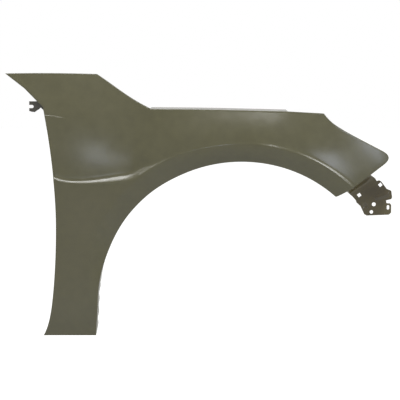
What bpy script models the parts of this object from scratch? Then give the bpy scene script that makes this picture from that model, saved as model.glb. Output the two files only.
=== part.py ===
"""Right-hand front fender of a mid-size saloon car, in primed sheet steel.

The fender is one pressing with turned edges. Two small stampings are spot-welded to its inner side:
the front bracket below the headlamp corner and the pillar fork at the upper rear corner.

Axes: +X points to the front of the car, +Y to its middle and +Z up, so the painted face looks to -Y.
All shapes are drawn from the centre of the wheel arch, with y = 0 in the widest plane of the flare.
An empty then moves them so that the origin lies on the underside of the bolt flange along the hood,
where the fender sits on its rail.
"""
from math import atan2, cos, degrees, exp, hypot, pi, radians, sin

import bmesh
import bpy
from mathutils import Vector

for old in list(bpy.data.objects):
    bpy.data.objects.remove(old, do_unlink=True)

# Sheet and folds, in metres
SHEET = 0.0008
BRACKET_SHEET = 0.0014
FORK_SHEET = 0.0020
FOLD_RADIUS = 0.0025
SEAM_GAP = 0.0003
CUT_OVERRUN = 0.004

# Wheel arch and the leg behind it
ARCH_RADIUS = 0.360
ARCH_TIP_ANGLE = 48.4
ARCH_SWELL = 0.0025
SWELL_FRONT_ANGLES = (112.0, 132.0)
SWELL_REAR_ANGLES = (140.0, 160.0)
SILL_DROP = 0.078
LEG_SWEEP = 0.005
LEG_WIDTH = 0.1043

# Flare round the arch: a face that leans in from a ridge to the arch edge, and a ledge above the ridge
FACE_WIDTH = 0.046
FACE_WIDTH_GROWTH = 0.005
FACE_GROWTH_ANGLES = (95.0, 125.0)
FACE_DEPTH = 0.013
LEG_FACE_LOSS_SHARE = 0.50
LEG_FADE_ANGLES = (148.0, 176.0)
SOFT_FRONT_ANGLES = (70.0, 90.0)
SOFT_REAR_ANGLES = (108.0, 120.0)
SOFT_LEDGE_SHARE = 0.80
FACE_CURVE = 1.3
SOFT_FACE_CURVE = 0.7
FLARE_BLEND = 0.120
FLARE_SWEEP_SHARE = 0.68
LEDGE_DEPTH = 0.007
LEDGE_BLEND = 0.008
LEDGE_ROUND = 0.0012
SHOULDER_LEDGE_SHARE = 0.45
SHOULDER_BLEND_SHARE = 0.60
SHOULDER_GROWTH = (-0.450, -0.330)
SHOULDER_DECLINE = (-0.270, -0.170)

# Door edge, from the sill to the corner under the wing; heights count from the crown of the arch
WAIST_HEIGHT = 0.200
SILL_SWEEP = 0.0208
SILL_FLICK = 0.0124
SHOULDER_DROP = 0.042
SHOULDER_ANGLE = 129.5
SHOULDER_DIP = 0.010
SHOULDER_SPREAD_BELOW = 22.0
SHOULDER_SPREAD_ABOVE = 5.5
DOOR_TOP_RISE = 0.1357
DOOR_TOP_SWEEP = 0.0335
UPPER_CREASE_DROP = 0.0197
DOOR_CROWD_CURVE = 1.5

# Wing beside the windscreen pillar
KINK_RUN = 0.0476
KINK_RISE = 0.0468
TIP_RUN = 0.0496
TIP_RISE = 0.0373
WING_LENGTH = 0.2317
WING_FALL = 0.0015
WING_CROWN = 0.0015
SLOPE_RUN = 0.138
SLOPE_DROP = 0.0872
SLOPE_HOLLOW = 0.0038
SLOPE_CURVE = 1.5

# Hood line, headlamp edge, nose and bumper edge
HOOD_LENGTH = 0.340
HOOD_FALL = 0.0065
HOOD_CROWN = 0.0015
FRONT_TOP_LENGTH = 0.0955
FRONT_TOP_FALL = 0.0064
NOSE_REACH = 0.1537
NOSE_RISE = 0.0963
NOSE_ROUND = 0.034
LAMP_HOLLOW_RUN = 0.025
LAMP_HOLLOW_DROP = 0.0305
BUMPER_HOLLOW = 0.0045
BUMPER_SKEW = 0.6

# Section of the skin
SWEEP_START = -0.050
SWEEP_STRAIGHT = 0.250
SWEEP_SLOPE = 0.36
LEAN_START_DROP = 0.060
LEAN_CURVE = 1.7
LEAN_REAR = 0.026
LEAN_FRONT = 0.040
LEAN_FADE_START = -0.480
LEAN_FADE_LENGTH = 0.400
WING_SLOPE = 0.10
CREASE_BLEND = 0.004
WING_FADE_START = -0.460
WING_FADE_LENGTH = 0.260
SILL_TUCK = 0.010
SILL_TUCK_START = 0.030

# Turned edges
ARCH_LIP = 0.018
LEG_LIP_DRAFT = 0.20
LEG_DRAFT_ANGLES = (160.0, 175.0)
LEG_TAB_START_ANGLE = 170.0
LEG_TAB_PITCH = 0.032
LEG_TAB_DEPTH = 0.008
SILL_FLANGE = 0.022
DOOR_HEM = 0.013
WING_HEM = 0.006
SLOPE_HEM = 0.010
FRONT_TOP_HEM = 0.012
LAMP_HEM = 0.015
RELIEF_DEPTH = 0.0045
RELIEF_LENGTH = 0.012
STEP_LENGTH = 0.004

# Hood shelf, its wall and the bolt flange on the rail
SHELF_DEPTH = 0.045
SHELF_RISE = 0.003
WALL_DROP = 0.030
BOLT_FLANGE = 0.024
BOLT_HOLE = 0.009
BOLT_HOLE_COUNT = 4

# Small holes
SILL_SLOT_WIDTH = 0.007
SILL_SLOT_LENGTH = 0.014
SILL_SLOT_MARGIN = 0.036
LIP_HOLE = 0.006
HOLE_DEPTH_SHARE = 0.6
LIP_HOLE_COUNT = 5
LIP_HOLE_FIRST_ANGLE = 64.0
LIP_HOLE_LAST_ANGLE = 158.0

# Weld flanges that carry the two stampings
BRACKET_SEAT_DEPTH = 0.012
BRACKET_SEAT_SLOPE = 0.50
WELD_FLANGE = 0.014
WELD_END_MARGIN = 0.020
FORK_SEAT_DEPTH = 0.016
FORK_EAR_LENGTH = 0.046
FORK_EAR_MARGIN = 0.008
FORK_EAR_WIDTH = 0.017

# Front bracket
BRACKET_WIDTH = 0.125
BRACKET_HEIGHT = 0.115
BRACKET_FORWARD = 0.0248
BRACKET_DROP = 0.0537
BRACKET_SET_IN = 0.012
BRACKET_FACE_SLOPE = 0.12
BRACKET_RAMP_START = 0.003
BRACKET_RAMP_LENGTH = 0.018
BRACKET_CELL = 0.0055
BRACKET_BEAD_HEIGHT = 0.003
BRACKET_BEAD_WIDTH = 0.009
BRACKET_SQUARE_HOLE = 0.0085
BRACKET_ROUND_HOLE = 0.010
BRACKET_SMALL_HOLE = 0.009
BRACKET_SLOT_WIDTH = 0.0065
BRACKET_SLOT_LENGTH = 0.0115

# Pillar fork
FORK_WIDTH = 0.0600
FORK_HEIGHT = 0.0547
FORK_REACH = 0.0352
FORK_TOP_RISE = 0.0145
FORK_SLOT_WIDTH = 0.008
FORK_SLOT_LENGTH = 0.0111

# Mesh density
FACE_ROW_COUNT = 3
LEDGE_ROWS = (0.005, 0.013)
ROW_SHARES = (0.045, 0.110, 0.200, 0.310, 0.440, 0.580, 0.720, 0.845, 0.940, 1.000)
LAMP_COLUMN_SHARES = (0.060, 0.130, 0.220, 0.340, 0.480, 0.620, 0.750, 0.850, 0.910, 0.950, 0.980, 1.000)
SIDE_FADE_COLUMN_COUNT = 7
HOLE_SIDE_COUNT = 16
SLOT_END_SIDE_COUNT = 6
SHARP_ANGLE = 21.0

# Outline of the front bracket as shares of its width and height, from its lower rear corner
BRACKET_OUTLINE_SHARES = (
    (0.000, 0.676), (0.456, 0.997), (0.564, 0.897), (0.646, 0.830), (0.678, 0.771), (0.727, 0.785),
    (0.773, 0.758), (0.887, 0.593), (0.981, 0.549), (1.000, 0.397), (0.981, 0.361), (0.875, 0.335),
    (0.883, 0.272), (0.957, 0.268), (0.981, 0.232), (0.981, 0.058), (0.932, 0.013), (0.474, 0.000),
    (0.424, 0.032), (0.344, 0.214), (0.262, 0.295), (0.246, 0.348), (0.180, 0.428), (0.060, 0.540),
)

# Holes of the front bracket, as shares of its width and height
BRACKET_UPPER_SQUARE_SHARES = (0.752, 0.683)
BRACKET_LOWER_SQUARE_SHARES = (0.318, 0.459)
BRACKET_ROUND_SHARES = (0.621, 0.250)
BRACKET_SMALL_SHARES = (0.572, 0.080)
BRACKET_SLOT_SHARES = (0.915, 0.178)
BRACKET_BEAD_SHARES = ((0.700, 0.405), (0.900, 0.475))
BRACKET_DENT_SHARES = (0.440, 0.215)

# Outline of the pillar fork as shares of its width and height, from its lower rear corner
FORK_OUTLINE_SHARES = (
    (0.000, 1.000), (0.619, 1.000), (0.792, 0.914), (1.000, 0.676), (1.000, 0.000), (0.757, 0.000),
    (0.688, 0.384), (0.567, 0.622), (0.480, 0.706), (0.411, 0.631), (0.324, 0.576), (0.237, 0.501),
    (0.116, 0.512), (0.000, 0.556),
)
FORK_SLOT_SHARE = 0.759

# Directions
FORWARD = Vector((1.0, 0.0, 0.0))
INWARD = Vector((0.0, 1.0, 0.0))
UP = Vector((0.0, 0.0, 1.0))

# Heights and corner points of the outline, seen from the side as (x, z)
SHOULDER_HEIGHT = ARCH_RADIUS - SHOULDER_DROP
LEAN_START = ARCH_RADIUS - LEAN_START_DROP
DOOR_TOP_HEIGHT = ARCH_RADIUS + DOOR_TOP_RISE
UPPER_CREASE_HEIGHT = DOOR_TOP_HEIGHT - UPPER_CREASE_DROP
FORK_EAR_TOP = DOOR_TOP_HEIGHT - FORK_EAR_MARGIN
FORK_EAR_BOTTOM = FORK_EAR_TOP - FORK_EAR_LENGTH
DOOR_WAIST_X = -(ARCH_RADIUS + LEG_WIDTH)
SILL_FRONT = Vector((-(ARCH_RADIUS + LEG_SWEEP), -SILL_DROP))
SILL_REAR = Vector((DOOR_WAIST_X - SILL_SWEEP - SILL_FLICK, -SILL_DROP))
DOOR_TOP = Vector((DOOR_WAIST_X - DOOR_TOP_SWEEP, DOOR_TOP_HEIGHT))
WING_KINK = DOOR_TOP + Vector((-KINK_RUN, KINK_RISE))
WING_TIP = WING_KINK + Vector((-TIP_RUN, TIP_RISE))
WING_FRONT = WING_TIP + Vector((WING_LENGTH, -WING_FALL))
HOOD_REAR = WING_FRONT + Vector((SLOPE_RUN, -SLOPE_DROP))
HOOD_FRONT = HOOD_REAR + Vector((HOOD_LENGTH, -HOOD_FALL))
LAMP_TOP = HOOD_FRONT + Vector((FRONT_TOP_LENGTH, -FRONT_TOP_FALL))
TIP = Vector((cos(radians(ARCH_TIP_ANGLE)), sin(radians(ARCH_TIP_ANGLE)))) * ARCH_RADIUS
NOSE = TIP + Vector((NOSE_REACH, NOSE_RISE))
LEG_ANGLE = degrees(SILL_DROP / ARCH_RADIUS)
BOLT_HEIGHT = HOOD_FRONT.y + SHELF_RISE - WALL_DROP

# Depth of the turned edge on each stretch of the outline; two stretches are worked out below
HEM_DEPTHS = {
    "arch": ARCH_LIP,
    "sill": SILL_FLANGE,
    "door": DOOR_HEM,
    "door top": DOOR_HEM,
    "pillar": WING_HEM,
    "wing rear": WING_HEM,
    "wing top": WING_HEM,
    "slope": SLOPE_HEM,
    "hood": SHELF_DEPTH,
    "front top": FRONT_TOP_HEM,
    "lamp": LAMP_HEM,
}


def ease(share):
    """Smooth step from 0 to 1."""
    share = max(0.0, min(1.0, share))
    return share * share * (3.0 - 2.0 * share)


def between(value, limits):
    """Smooth step from 0 at the first limit to 1 at the second."""
    return ease((value - limits[0]) / (limits[1] - limits[0]))


def polar(radius, angle):
    """Point at a radius and an angle in degrees round the arch centre."""
    return Vector((radius * cos(radians(angle)), radius * sin(radians(angle))))


def bezier(share, *points):
    """Point on a Bezier curve of any order."""
    while len(points) > 1:
        points = [first.lerp(second, share) for first, second in zip(points, points[1:])]
    return points[0]


def bowed(start, end, bow, skew=1.0):
    """Span from start to end that bows to the left of the straight line, or to the right if negative."""
    along = (end - start).normalized()
    left = Vector((-along.y, along.x))
    return lambda share: start.lerp(end, share) + left * bow * sin(pi * share ** skew)


def side_normal(before, point, after):
    """Outward normal of the outline at a point, lengthened at a corner so that folds stay parallel."""
    first = (point - before).normalized()
    second = (after - point).normalized()
    first = Vector((first.y, -first.x))
    second = Vector((second.y, -second.x))
    middle = (first + second).normalized()
    return middle / max(middle.dot(first), 0.5)


# The outline


def arch_edge(angle):
    """Arch edge: nearly a circle, and below the arch centre the almost upright edge of the leg."""
    if angle <= 180.0:
        swell = between(angle, SWELL_FRONT_ANGLES) * (1.0 - between(angle, SWELL_REAR_ANGLES))
        return polar(ARCH_RADIUS + ARCH_SWELL * swell, angle)
    share = (angle - 180.0) / LEG_ANGLE
    return Vector((-ARCH_RADIUS - LEG_SWEEP * share, -SILL_DROP * share))


def face_width(angle):
    """Width of the flare face: wider behind the wheel, narrower down the leg."""
    grown = FACE_WIDTH + FACE_WIDTH_GROWTH * between(angle, FACE_GROWTH_ANGLES)
    return grown * (1.0 - LEG_FACE_LOSS_SHARE * between(angle, LEG_FADE_ANGLES))


def ridge_point(angle):
    """Ridge of the flare beside the arch edge."""
    if angle <= 180.0:
        return polar(ARCH_RADIUS + face_width(angle), angle)
    return arch_edge(angle) + Vector((-face_width(angle), 0.0))


def door_edge(height):
    """Door edge: from a straight waist it sweeps back to the sill and back to the wing."""
    if height < WAIST_HEIGHT:
        share = (WAIST_HEIGHT - height) / (WAIST_HEIGHT + SILL_DROP)
        return Vector((DOOR_WAIST_X - SILL_SWEEP * share ** 2 - SILL_FLICK * share ** 9, height))
    share = (height - WAIST_HEIGHT) / (DOOR_TOP_HEIGHT - WAIST_HEIGHT)
    return Vector((DOOR_WAIST_X - DOOR_TOP_SWEEP * share ** 1.85, height))


def door_span(low, high, crowd=1.0):
    """Stretch of the door edge between two heights, with its columns crowded to the lower end."""
    return lambda share: door_edge(low + (high - low) * share ** crowd)


def lamp_edge(share):
    """Headlamp edge: steep below its top corner, then straight to the nose."""
    control = LAMP_TOP + Vector((LAMP_HOLLOW_RUN, -LAMP_HOLLOW_DROP))
    return bezier(share, LAMP_TOP, control, control, NOSE)


def bumper_edge(share):
    """Bumper edge from the arch tip to the nose, rounded where it meets the headlamp edge."""
    return bowed(TIP, NOSE, -BUMPER_HOLLOW, BUMPER_SKEW)(share)


def round_nose(point):
    """Pull a point near the nose corner onto the round of the nose."""
    lamp_side = (lamp_edge(0.97) - NOSE).normalized()
    bumper_side = (bumper_edge(0.97) - NOSE).normalized()
    reach = (point - NOSE).length
    if reach >= NOSE_ROUND:
        return point
    above = (point - NOSE).dot(lamp_side - bumper_side) > 0.0
    share = 0.5 - 0.5 * reach / NOSE_ROUND if above else 0.5 + 0.5 * reach / NOSE_ROUND
    return bezier(share, NOSE + lamp_side * NOSE_ROUND, NOSE, NOSE + bumper_side * NOSE_ROUND)


# Spans of the outer outline, from the sill round to the nose
SPAN_CURVES = (
    ("door", door_span(-SILL_DROP, 0.0)),
    ("door", door_span(0.0, WAIST_HEIGHT)),
    ("door", door_span(WAIST_HEIGHT, SHOULDER_HEIGHT)),
    ("door", door_span(SHOULDER_HEIGHT, FORK_EAR_BOTTOM, DOOR_CROWD_CURVE)),
    ("ear", door_span(FORK_EAR_BOTTOM, UPPER_CREASE_HEIGHT)),
    ("ear", door_span(UPPER_CREASE_HEIGHT, FORK_EAR_TOP)),
    ("door top", door_span(FORK_EAR_TOP, DOOR_TOP_HEIGHT)),
    ("pillar", bowed(DOOR_TOP, WING_KINK, 0.0)),
    ("wing rear", bowed(WING_KINK, WING_TIP, 0.0)),
    ("wing top", bowed(WING_TIP, WING_FRONT, WING_CROWN)),
    ("slope", bowed(WING_FRONT, HOOD_REAR, -SLOPE_HOLLOW, SLOPE_CURVE)),
    ("hood", bowed(HOOD_REAR, HOOD_FRONT, HOOD_CROWN)),
    ("front top", bowed(HOOD_FRONT, LAMP_TOP, 0.0)),
    ("lamp", lamp_edge),
)

# Columns of the skin on each span
SPAN_COLUMN_COUNTS = (4, 6, 6, 6, 2, 1, 1, 3, 3, 8, 6, 14, 4, len(LAMP_COLUMN_SHARES))

# At the far end of each span: the arch angle of its column of the skin, and the directions in which that
# column leaves the ridge and reaches the outline
SPAN_ANGLES = (
    (180.0, 180.0, 180.0), (152.0, 180.0, 180.0), (SHOULDER_ANGLE, 180.0, 180.0), (125.3, 144.3, 179.2),
    (124.5, 138.0, 179.0), (123.3, 137.4, 177.2), (122.5, 137.0, 176.0), (120.5, 136.0, 170.0),
    (118.5, 136.0, 162.0), (114.5, 126.0, 122.0), (110.0, 116.0, 115.0), (74.0, 80.0, 95.0),
    (65.0, 68.0, 76.0), (ARCH_TIP_ANGLE, 40.0, 35.0),
)


# The skin


def shoulder_dip(x):
    """How far the shoulder line hangs below the straight line from the door edge to the flare."""
    share = max(0.0, min(1.0, (x - DOOR_WAIST_X) / (ridge_point(SHOULDER_ANGLE).x - DOOR_WAIST_X)))
    return SHOULDER_DIP * sin(pi * share ** 0.65)


def shoulder_height(x):
    """Shoulder line from the door edge to the flare, with its shallow dip."""
    front = ridge_point(SHOULDER_ANGLE)
    share = max(0.0, min(1.0, (x - DOOR_WAIST_X) / (front.x - DOOR_WAIST_X)))
    return SHOULDER_HEIGHT + (front.y - SHOULDER_HEIGHT) * share - shoulder_dip(x)


def nose_sweep(x):
    """How far the plan curve has turned to the middle of the car at x."""
    run = max(x - SWEEP_START, 0.0)
    bend = SWEEP_STRAIGHT - SWEEP_START
    if run <= bend:
        return SWEEP_SLOPE * run * run / (2.0 * bend)
    return SWEEP_SLOPE * (run - bend / 2.0)


def lean(x, z):
    """Lean of the skin above the shoulder: stronger along the hood than at the door, steep on the wing."""
    amount = LEAN_REAR + (LEAN_FRONT - LEAN_REAR) * ease((x - LEAN_FADE_START) / LEAN_FADE_LENGTH)
    height = max(z - LEAN_START, 0.0) / (HOOD_REAR.y - LEAN_START)
    fade = 1.0 - ease((x - WING_FADE_START) / WING_FADE_LENGTH)
    over = z - UPPER_CREASE_HEIGHT
    return amount * height ** LEAN_CURVE + WING_SLOPE * fade * (over + hypot(over, CREASE_BLEND)) / 2.0


def skin_depth(point):
    """Distance of the outer face from the widest plane of the flare, towards the middle of the car."""
    x, z = point
    angle = min(degrees(atan2(z, x)) % 360.0, 180.0)
    width = face_width(angle)
    ring = hypot(x, z) - ARCH_RADIUS - width
    ridge = FLARE_SWEEP_SHARE * nose_sweep(x)
    soft = between(angle, SOFT_FRONT_ANGLES) * (1.0 - between(angle, SOFT_REAR_ANGLES))
    tuck = SILL_TUCK * (max(SILL_TUCK_START - z, 0.0) / (SILL_TUCK_START + SILL_DROP)) ** 2
    if ring < 0.0:
        fade = 1.0 - between(angle, LEG_FADE_ANGLES)
        return ridge + tuck + FACE_DEPTH * fade * (-ring / width) ** (FACE_CURVE + SOFT_FACE_CURVE * soft)
    body = nose_sweep(x) + lean(x, z)
    above = ring
    if x < ridge_point(SHOULDER_ANGLE).x:
        above = min(ring, z - shoulder_height(x))
    broad = between(x, SHOULDER_GROWTH) * (1.0 - between(x, SHOULDER_DECLINE))
    depth = LEDGE_DEPTH * (1.0 - SOFT_LEDGE_SHARE * soft) * (1.0 + SHOULDER_LEDGE_SHARE * broad)
    above = hypot(max(above, 0.0), LEDGE_ROUND) - LEDGE_ROUND
    ledge = depth * (1.0 - exp(-above / (LEDGE_BLEND * (1.0 + SHOULDER_BLEND_SHARE * broad))))
    return body + (ridge - body) * max(0.0, 1.0 - ring / FLARE_BLEND) ** 2 + ledge + tuck


def bracket_seat(x):
    """Depth of the plane in which the bumper edge's weld flange carries the bracket."""
    return skin_depth(TIP) + BRACKET_SEAT_DEPTH + BRACKET_SEAT_SLOPE * (x - TIP.x)


FORK_SEAT = skin_depth(DOOR_TOP) + FORK_SEAT_DEPTH


class EdgePoint:
    """One point of the outline, with the turned edge that starts there."""

    def __init__(self, kind, place, angle=0.0, leave=0.0, arrive=0.0):
        self.kind = kind
        self.place = place
        self.angle = angle
        self.leave = leave
        self.arrive = arrive
        self.corner = False
        self.fold = Vector((0.0, 0.0))
        self.vert = None

    def inset(self):
        """Where the skin ends and the fold of the turned edge begins."""
        return self.place - self.fold


def span_shares(kind, count, length):
    """Shares of the columns on a span; a short column beside the hood shelf makes its end crisp."""
    step = STEP_LENGTH / length
    if kind == "lamp":
        return LAMP_COLUMN_SHARES
    if kind == "slope":
        return [index * (1.0 - step) / (count - 1) for index in range(1, count)] + [1.0]
    if kind == "front top":
        return [step + index * (1.0 - step) / (count - 1) for index in range(count)]
    return [(index + 1) / count for index in range(count)]


def outer_side():
    """Outer outline, one point for each column of the skin, from the sill round to the nose."""
    points = [EdgePoint("door", SILL_REAR, 180.0 + LEG_ANGLE, 180.0, 180.0)]
    points[0].corner = True
    following = [kind for kind, _ in SPAN_CURVES[1:]] + ["bumper"]
    spans = zip(SPAN_CURVES, SPAN_COLUMN_COUNTS, SPAN_ANGLES, following)
    for (kind, curve), count, angles, next_kind in spans:
        start = points[-1]
        length = (curve(1.0) - curve(0.0)).length
        for index, share in enumerate(span_shares(kind, count, length)):
            part = share if kind == "lamp" else (index + 1) / count
            place = round_nose(curve(share)) if kind == "lamp" else curve(share)
            turns = Vector((start.angle, start.leave, start.arrive)).lerp(Vector(angles), part)
            points.append(EdgePoint(kind, place, *turns))
        points[-1].corner = kind in ("wing rear", "wing top", "front top", "lamp")
        if next_kind in ("ear", "hood"):
            points[-1].kind = next_kind
    return points


def row_shares(length):
    """Shares of the rows from the ridge to the outer outline: the ledge's own rows, then the table's."""
    ledge = [distance / length for distance in LEDGE_ROWS]
    return ledge + [ledge[-1] + (1.0 - ledge[-1]) * share for share in ROW_SHARES]


def side_shares(length, face):
    """Shares of all rows along a side edge of the skin, given its length and the width of the flare face."""
    split = face / length
    rows = [split * row / FACE_ROW_COUNT for row in range(FACE_ROW_COUNT + 1)]
    return rows + [split + (1.0 - split) * share for share in row_shares(length - face)]


def bumper_side():
    """Bumper edge, one point for each row of the skin, from the arch tip to the nose."""
    shares = side_shares((NOSE - TIP).length, face_width(ARCH_TIP_ANGLE))
    return [EdgePoint("bumper", round_nose(bumper_edge(share))) for share in shares]


def sill_side():
    """Sill edge, one point for each row of the skin, from the leg to the door."""
    shares = side_shares((SILL_FRONT - SILL_REAR).length, face_width(180.0 + LEG_ANGLE))
    return [EdgePoint("sill", SILL_FRONT.lerp(SILL_REAR, share)) for share in shares]


def outline():
    """The four sides of the skin and the closed loop that they form."""
    outer = outer_side()
    arch = [EdgePoint("arch", arch_edge(point.angle), point.angle) for point in outer]
    bumper = bumper_side()
    sill = sill_side()
    arch[0].corner = True
    arch[-1].corner = True
    outer[-1].place = bumper[-1].place
    bumper[0] = arch[-1]
    bumper[-1] = outer[-1]
    sill[0] = arch[0]
    sill[-1] = outer[0]
    loop = arch + bumper[1:-1] + outer[::-1] + sill[-2:0:-1]
    for index, point in enumerate(loop):
        before = loop[index - 1].place
        after = loop[(index + 1) % len(loop)].place
        point.fold = side_normal(before, point.place, after) * FOLD_RADIUS
    return arch, bumper, outer, sill, loop


def skin_line(arch_point, outer_point):
    """Places of one column of the skin, from the arch edge over the ridge to the outer outline."""
    start = arch_point.inset()
    end = outer_point.inset()
    ridge = ridge_point(outer_point.angle)
    length = (end - ridge).length
    leaving = ridge + polar(length / 3.0, outer_point.leave)
    arriving = end - polar(length / 3.0, outer_point.arrive)
    line = [bezier(share, ridge, leaving, arriving, end) for share in row_shares(length)]
    spread = SHOULDER_SPREAD_BELOW if outer_point.angle > SHOULDER_ANGLE else SHOULDER_SPREAD_ABOVE
    weight = ease(1.0 - abs(outer_point.angle - SHOULDER_ANGLE) / spread)
    for place in line:
        place.y -= shoulder_dip(place.x) * weight
    return [start.lerp(ridge, row / FACE_ROW_COUNT) for row in range(FACE_ROW_COUNT + 1)] + line


def skin_places(arch, bumper, outer, sill):
    """Places of the whole skin as columns of (x, z), fitted to the sill and the bumper edge."""
    columns = [skin_line(first, second) for first, second in zip(arch, outer)]
    last = len(columns) - 1
    ends = ((0, sill), (last, bumper))
    for end, side in ends:
        drift = [point.inset() - place for point, place in zip(side, columns[end])]
        for index, column in enumerate(columns):
            weight = ease(1.0 - abs(index - end) / SIDE_FADE_COLUMN_COUNT)
            for row, step in enumerate(drift):
                column[row] = column[row] + step * weight
    return columns


def face_outwards(bm, skin_faces):
    """Turn all faces of a sheet alike, so that its skin looks to the outside of the car."""
    bmesh.ops.recalc_face_normals(bm, faces=bm.faces)
    bm.normal_update()
    if sum(face.normal.y * face.calc_area() for face in skin_faces) > 0.0:
        bmesh.ops.reverse_faces(bm, faces=bm.faces)
    return bm


def extrude_edges(bm, edges, move):
    """Extrude open edges, move each new vertex as move says for its source, and return what was made."""
    made = bmesh.ops.extrude_edge_only(bm, edges=edges)["geom"]
    fresh = {item for item in made if isinstance(item, bmesh.types.BMVert)}
    rim = [item for item in made if isinstance(item, bmesh.types.BMEdge) and set(item.verts) <= fresh]
    sources = {}
    for vert in fresh:
        for edge in vert.link_edges:
            other = edge.other_vert(vert)
            if other not in fresh:
                sources[vert] = other
    for vert, source in sources.items():
        vert.co = move(source)
    return rim, {source: vert for vert, source in sources.items()}


def hem_depth(point):
    """Full depth of the turned edge at a point of the outline."""
    base = skin_depth(point.inset())
    if point.kind == "bumper":
        return bracket_seat(point.place.x) - base
    if point.kind == "ear":
        return FORK_SEAT - base
    if point.kind == "arch" and point.angle > LEG_TAB_START_ANGLE:
        wave = 0.5 + 0.5 * cos(2.0 * pi * point.place.y / LEG_TAB_PITCH)
        return ARCH_LIP - LEG_TAB_DEPTH * wave
    return HEM_DEPTHS[point.kind]


def turn_edges(bm, loop, edges):
    """Turn the whole outline inwards: a rounded fold, then a hem that is relieved at the corners."""
    lengths = [(point.place - loop[index - 1].place).length for index, point in enumerate(loop)]
    stations = [sum(lengths[:index + 1]) for index in range(len(loop))]
    around = stations[-1]
    corners = [station for point, station in zip(loop, stations) if point.corner]
    owners = {}
    for point, station in zip(loop, stations):
        gap = min(min(abs(station - other), around - abs(station - other)) for other in corners)
        full = hem_depth(point)
        if point.kind != "hood":
            full = RELIEF_DEPTH + (full - RELIEF_DEPTH) * ease(gap / RELIEF_LENGTH)
        drafted = point.kind == "arch" and not point.corner
        draft = LEG_LIP_DRAFT * between(point.angle, LEG_DRAFT_ANGLES) if drafted else 0.0
        rise = SHELF_RISE if point.kind == "hood" else 0.0
        outward = point.fold * (draft * full / FOLD_RADIUS)
        owners[point.vert] = (point, full, outward, rise)

    def fold_middle(vert):
        point = owners[vert][0]
        step = point.fold * sin(pi / 4.0)
        return vert.co + Vector((step.x, FOLD_RADIUS * (1.0 - cos(pi / 4.0)), step.y))

    def fold_end(vert):
        point = owners[vert][0]
        return Vector((point.place.x, vert.co.y + FOLD_RADIUS * cos(pi / 4.0), point.place.y))

    def hem_end(vert):
        point, full, outward, rise = owners[vert]
        return vert.co + Vector((outward.x, full - FOLD_RADIUS, outward.y + rise))

    for move in (fold_middle, fold_end, hem_end):
        edges, made = extrude_edges(bm, edges, move)
        owners = {fresh: owners[source] for source, fresh in made.items()}
    return edges, {vert: owner[0] for vert, owner in owners.items()}


def fold_flange(bm, edges, moves):
    """Carry a row of open edges through a list of moves, each a function of the source vertex."""
    for move in moves:
        edges, _ = extrude_edges(bm, edges, move)
    return edges


def shift(dy, dz):
    return lambda vert: vert.co + Vector((0.0, dy, dz))


def build_rail_flange(bm, edges):
    """Wall below the hood shelf and the flat bolt flange that lies on the rail."""
    wide = FOLD_RADIUS * sin(pi / 4.0)
    narrow = FOLD_RADIUS - wide
    wall_end = BOLT_HEIGHT + FOLD_RADIUS
    fold_flange(bm, edges, (
        shift(wide, -narrow),
        shift(narrow, -wide),
        lambda vert: Vector((vert.co.x, vert.co.y, wall_end)),
        shift(narrow, -wide),
        lambda vert: Vector((vert.co.x, vert.co.y + wide, BOLT_HEIGHT)),
        shift(BOLT_FLANGE, 0.0),
    ))


def rail_centre(share):
    """Middle of the bolt flange at a share of the hood's length."""
    place = bowed(HOOD_REAR, HOOD_FRONT, HOOD_CROWN)(share)
    edge = place - Vector((0.0, FOLD_RADIUS))
    depth = skin_depth(edge) + SHELF_DEPTH + 2.0 * FOLD_RADIUS + BOLT_FLANGE / 2.0
    return Vector((place.x, depth, BOLT_HEIGHT))


def panel_mesh():
    """The pressed sheet without its thickness: skin, turned edges and flanges."""
    arch, bumper, outer, sill, loop = outline()
    places = skin_places(arch, bumper, outer, sill)
    columns = len(places) - 1
    rows = len(places[0]) - 1
    bm = bmesh.new()
    bmesh.ops.create_grid(bm, x_segments=columns, y_segments=rows, size=0.5)
    grid = {}
    for vert in bm.verts:
        column = round((vert.co.x + 0.5) * columns)
        row = round((vert.co.y + 0.5) * rows)
        grid[column, row] = vert
    for (column, row), vert in grid.items():
        place = places[column][row]
        vert.co = (place.x, skin_depth(place), place.y)
    for index, (first, second) in enumerate(zip(arch, outer)):
        first.vert = grid[index, 0]
        second.vert = grid[index, rows]
    for index in range(1, rows):
        bumper[index].vert = grid[columns, index]
        sill[index].vert = grid[0, index]
    skin_faces = list(bm.faces)
    edges, owners = turn_edges(bm, loop, [edge for edge in bm.edges if edge.is_boundary])

    def chosen(test):
        return [edge for edge in edges if all(test(owners[vert]) for vert in edge.verts)]

    nose_margin = NOSE - (NOSE - TIP).normalized() * WELD_END_MARGIN
    tip_margin = TIP.x + WELD_END_MARGIN
    build_rail_flange(bm, chosen(lambda point: point.kind == "hood"))
    weld = chosen(lambda point: point.kind == "bumper" and tip_margin < point.place.x < nose_margin.x)
    ear = chosen(lambda point: point.kind == "ear")

    def weld_flange(vert):
        inward = owners[vert].fold.normalized() * -WELD_FLANGE
        place = vert.co + Vector((inward.x, 0.0, inward.y))
        place.y = bracket_seat(place.x)
        return place

    def ear_flange(vert):
        return vert.co + Vector((FORK_EAR_WIDTH, 0.0, 0.0))

    extrude_edges(bm, weld, weld_flange)
    extrude_edges(bm, ear, ear_flange)
    return face_outwards(bm, skin_faces)


# Sheets, prisms and cutters


def circle_points(diameter, sides=HOLE_SIDE_COUNT, turn=0.0):
    """Corners of a regular polygon round the origin; four sides of a turned square too."""
    radius = diameter / 2.0 / cos(pi / sides) if sides == 4 else diameter / 2.0
    return [polar(radius, 360.0 * side / sides + turn) for side in range(sides)]


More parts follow.
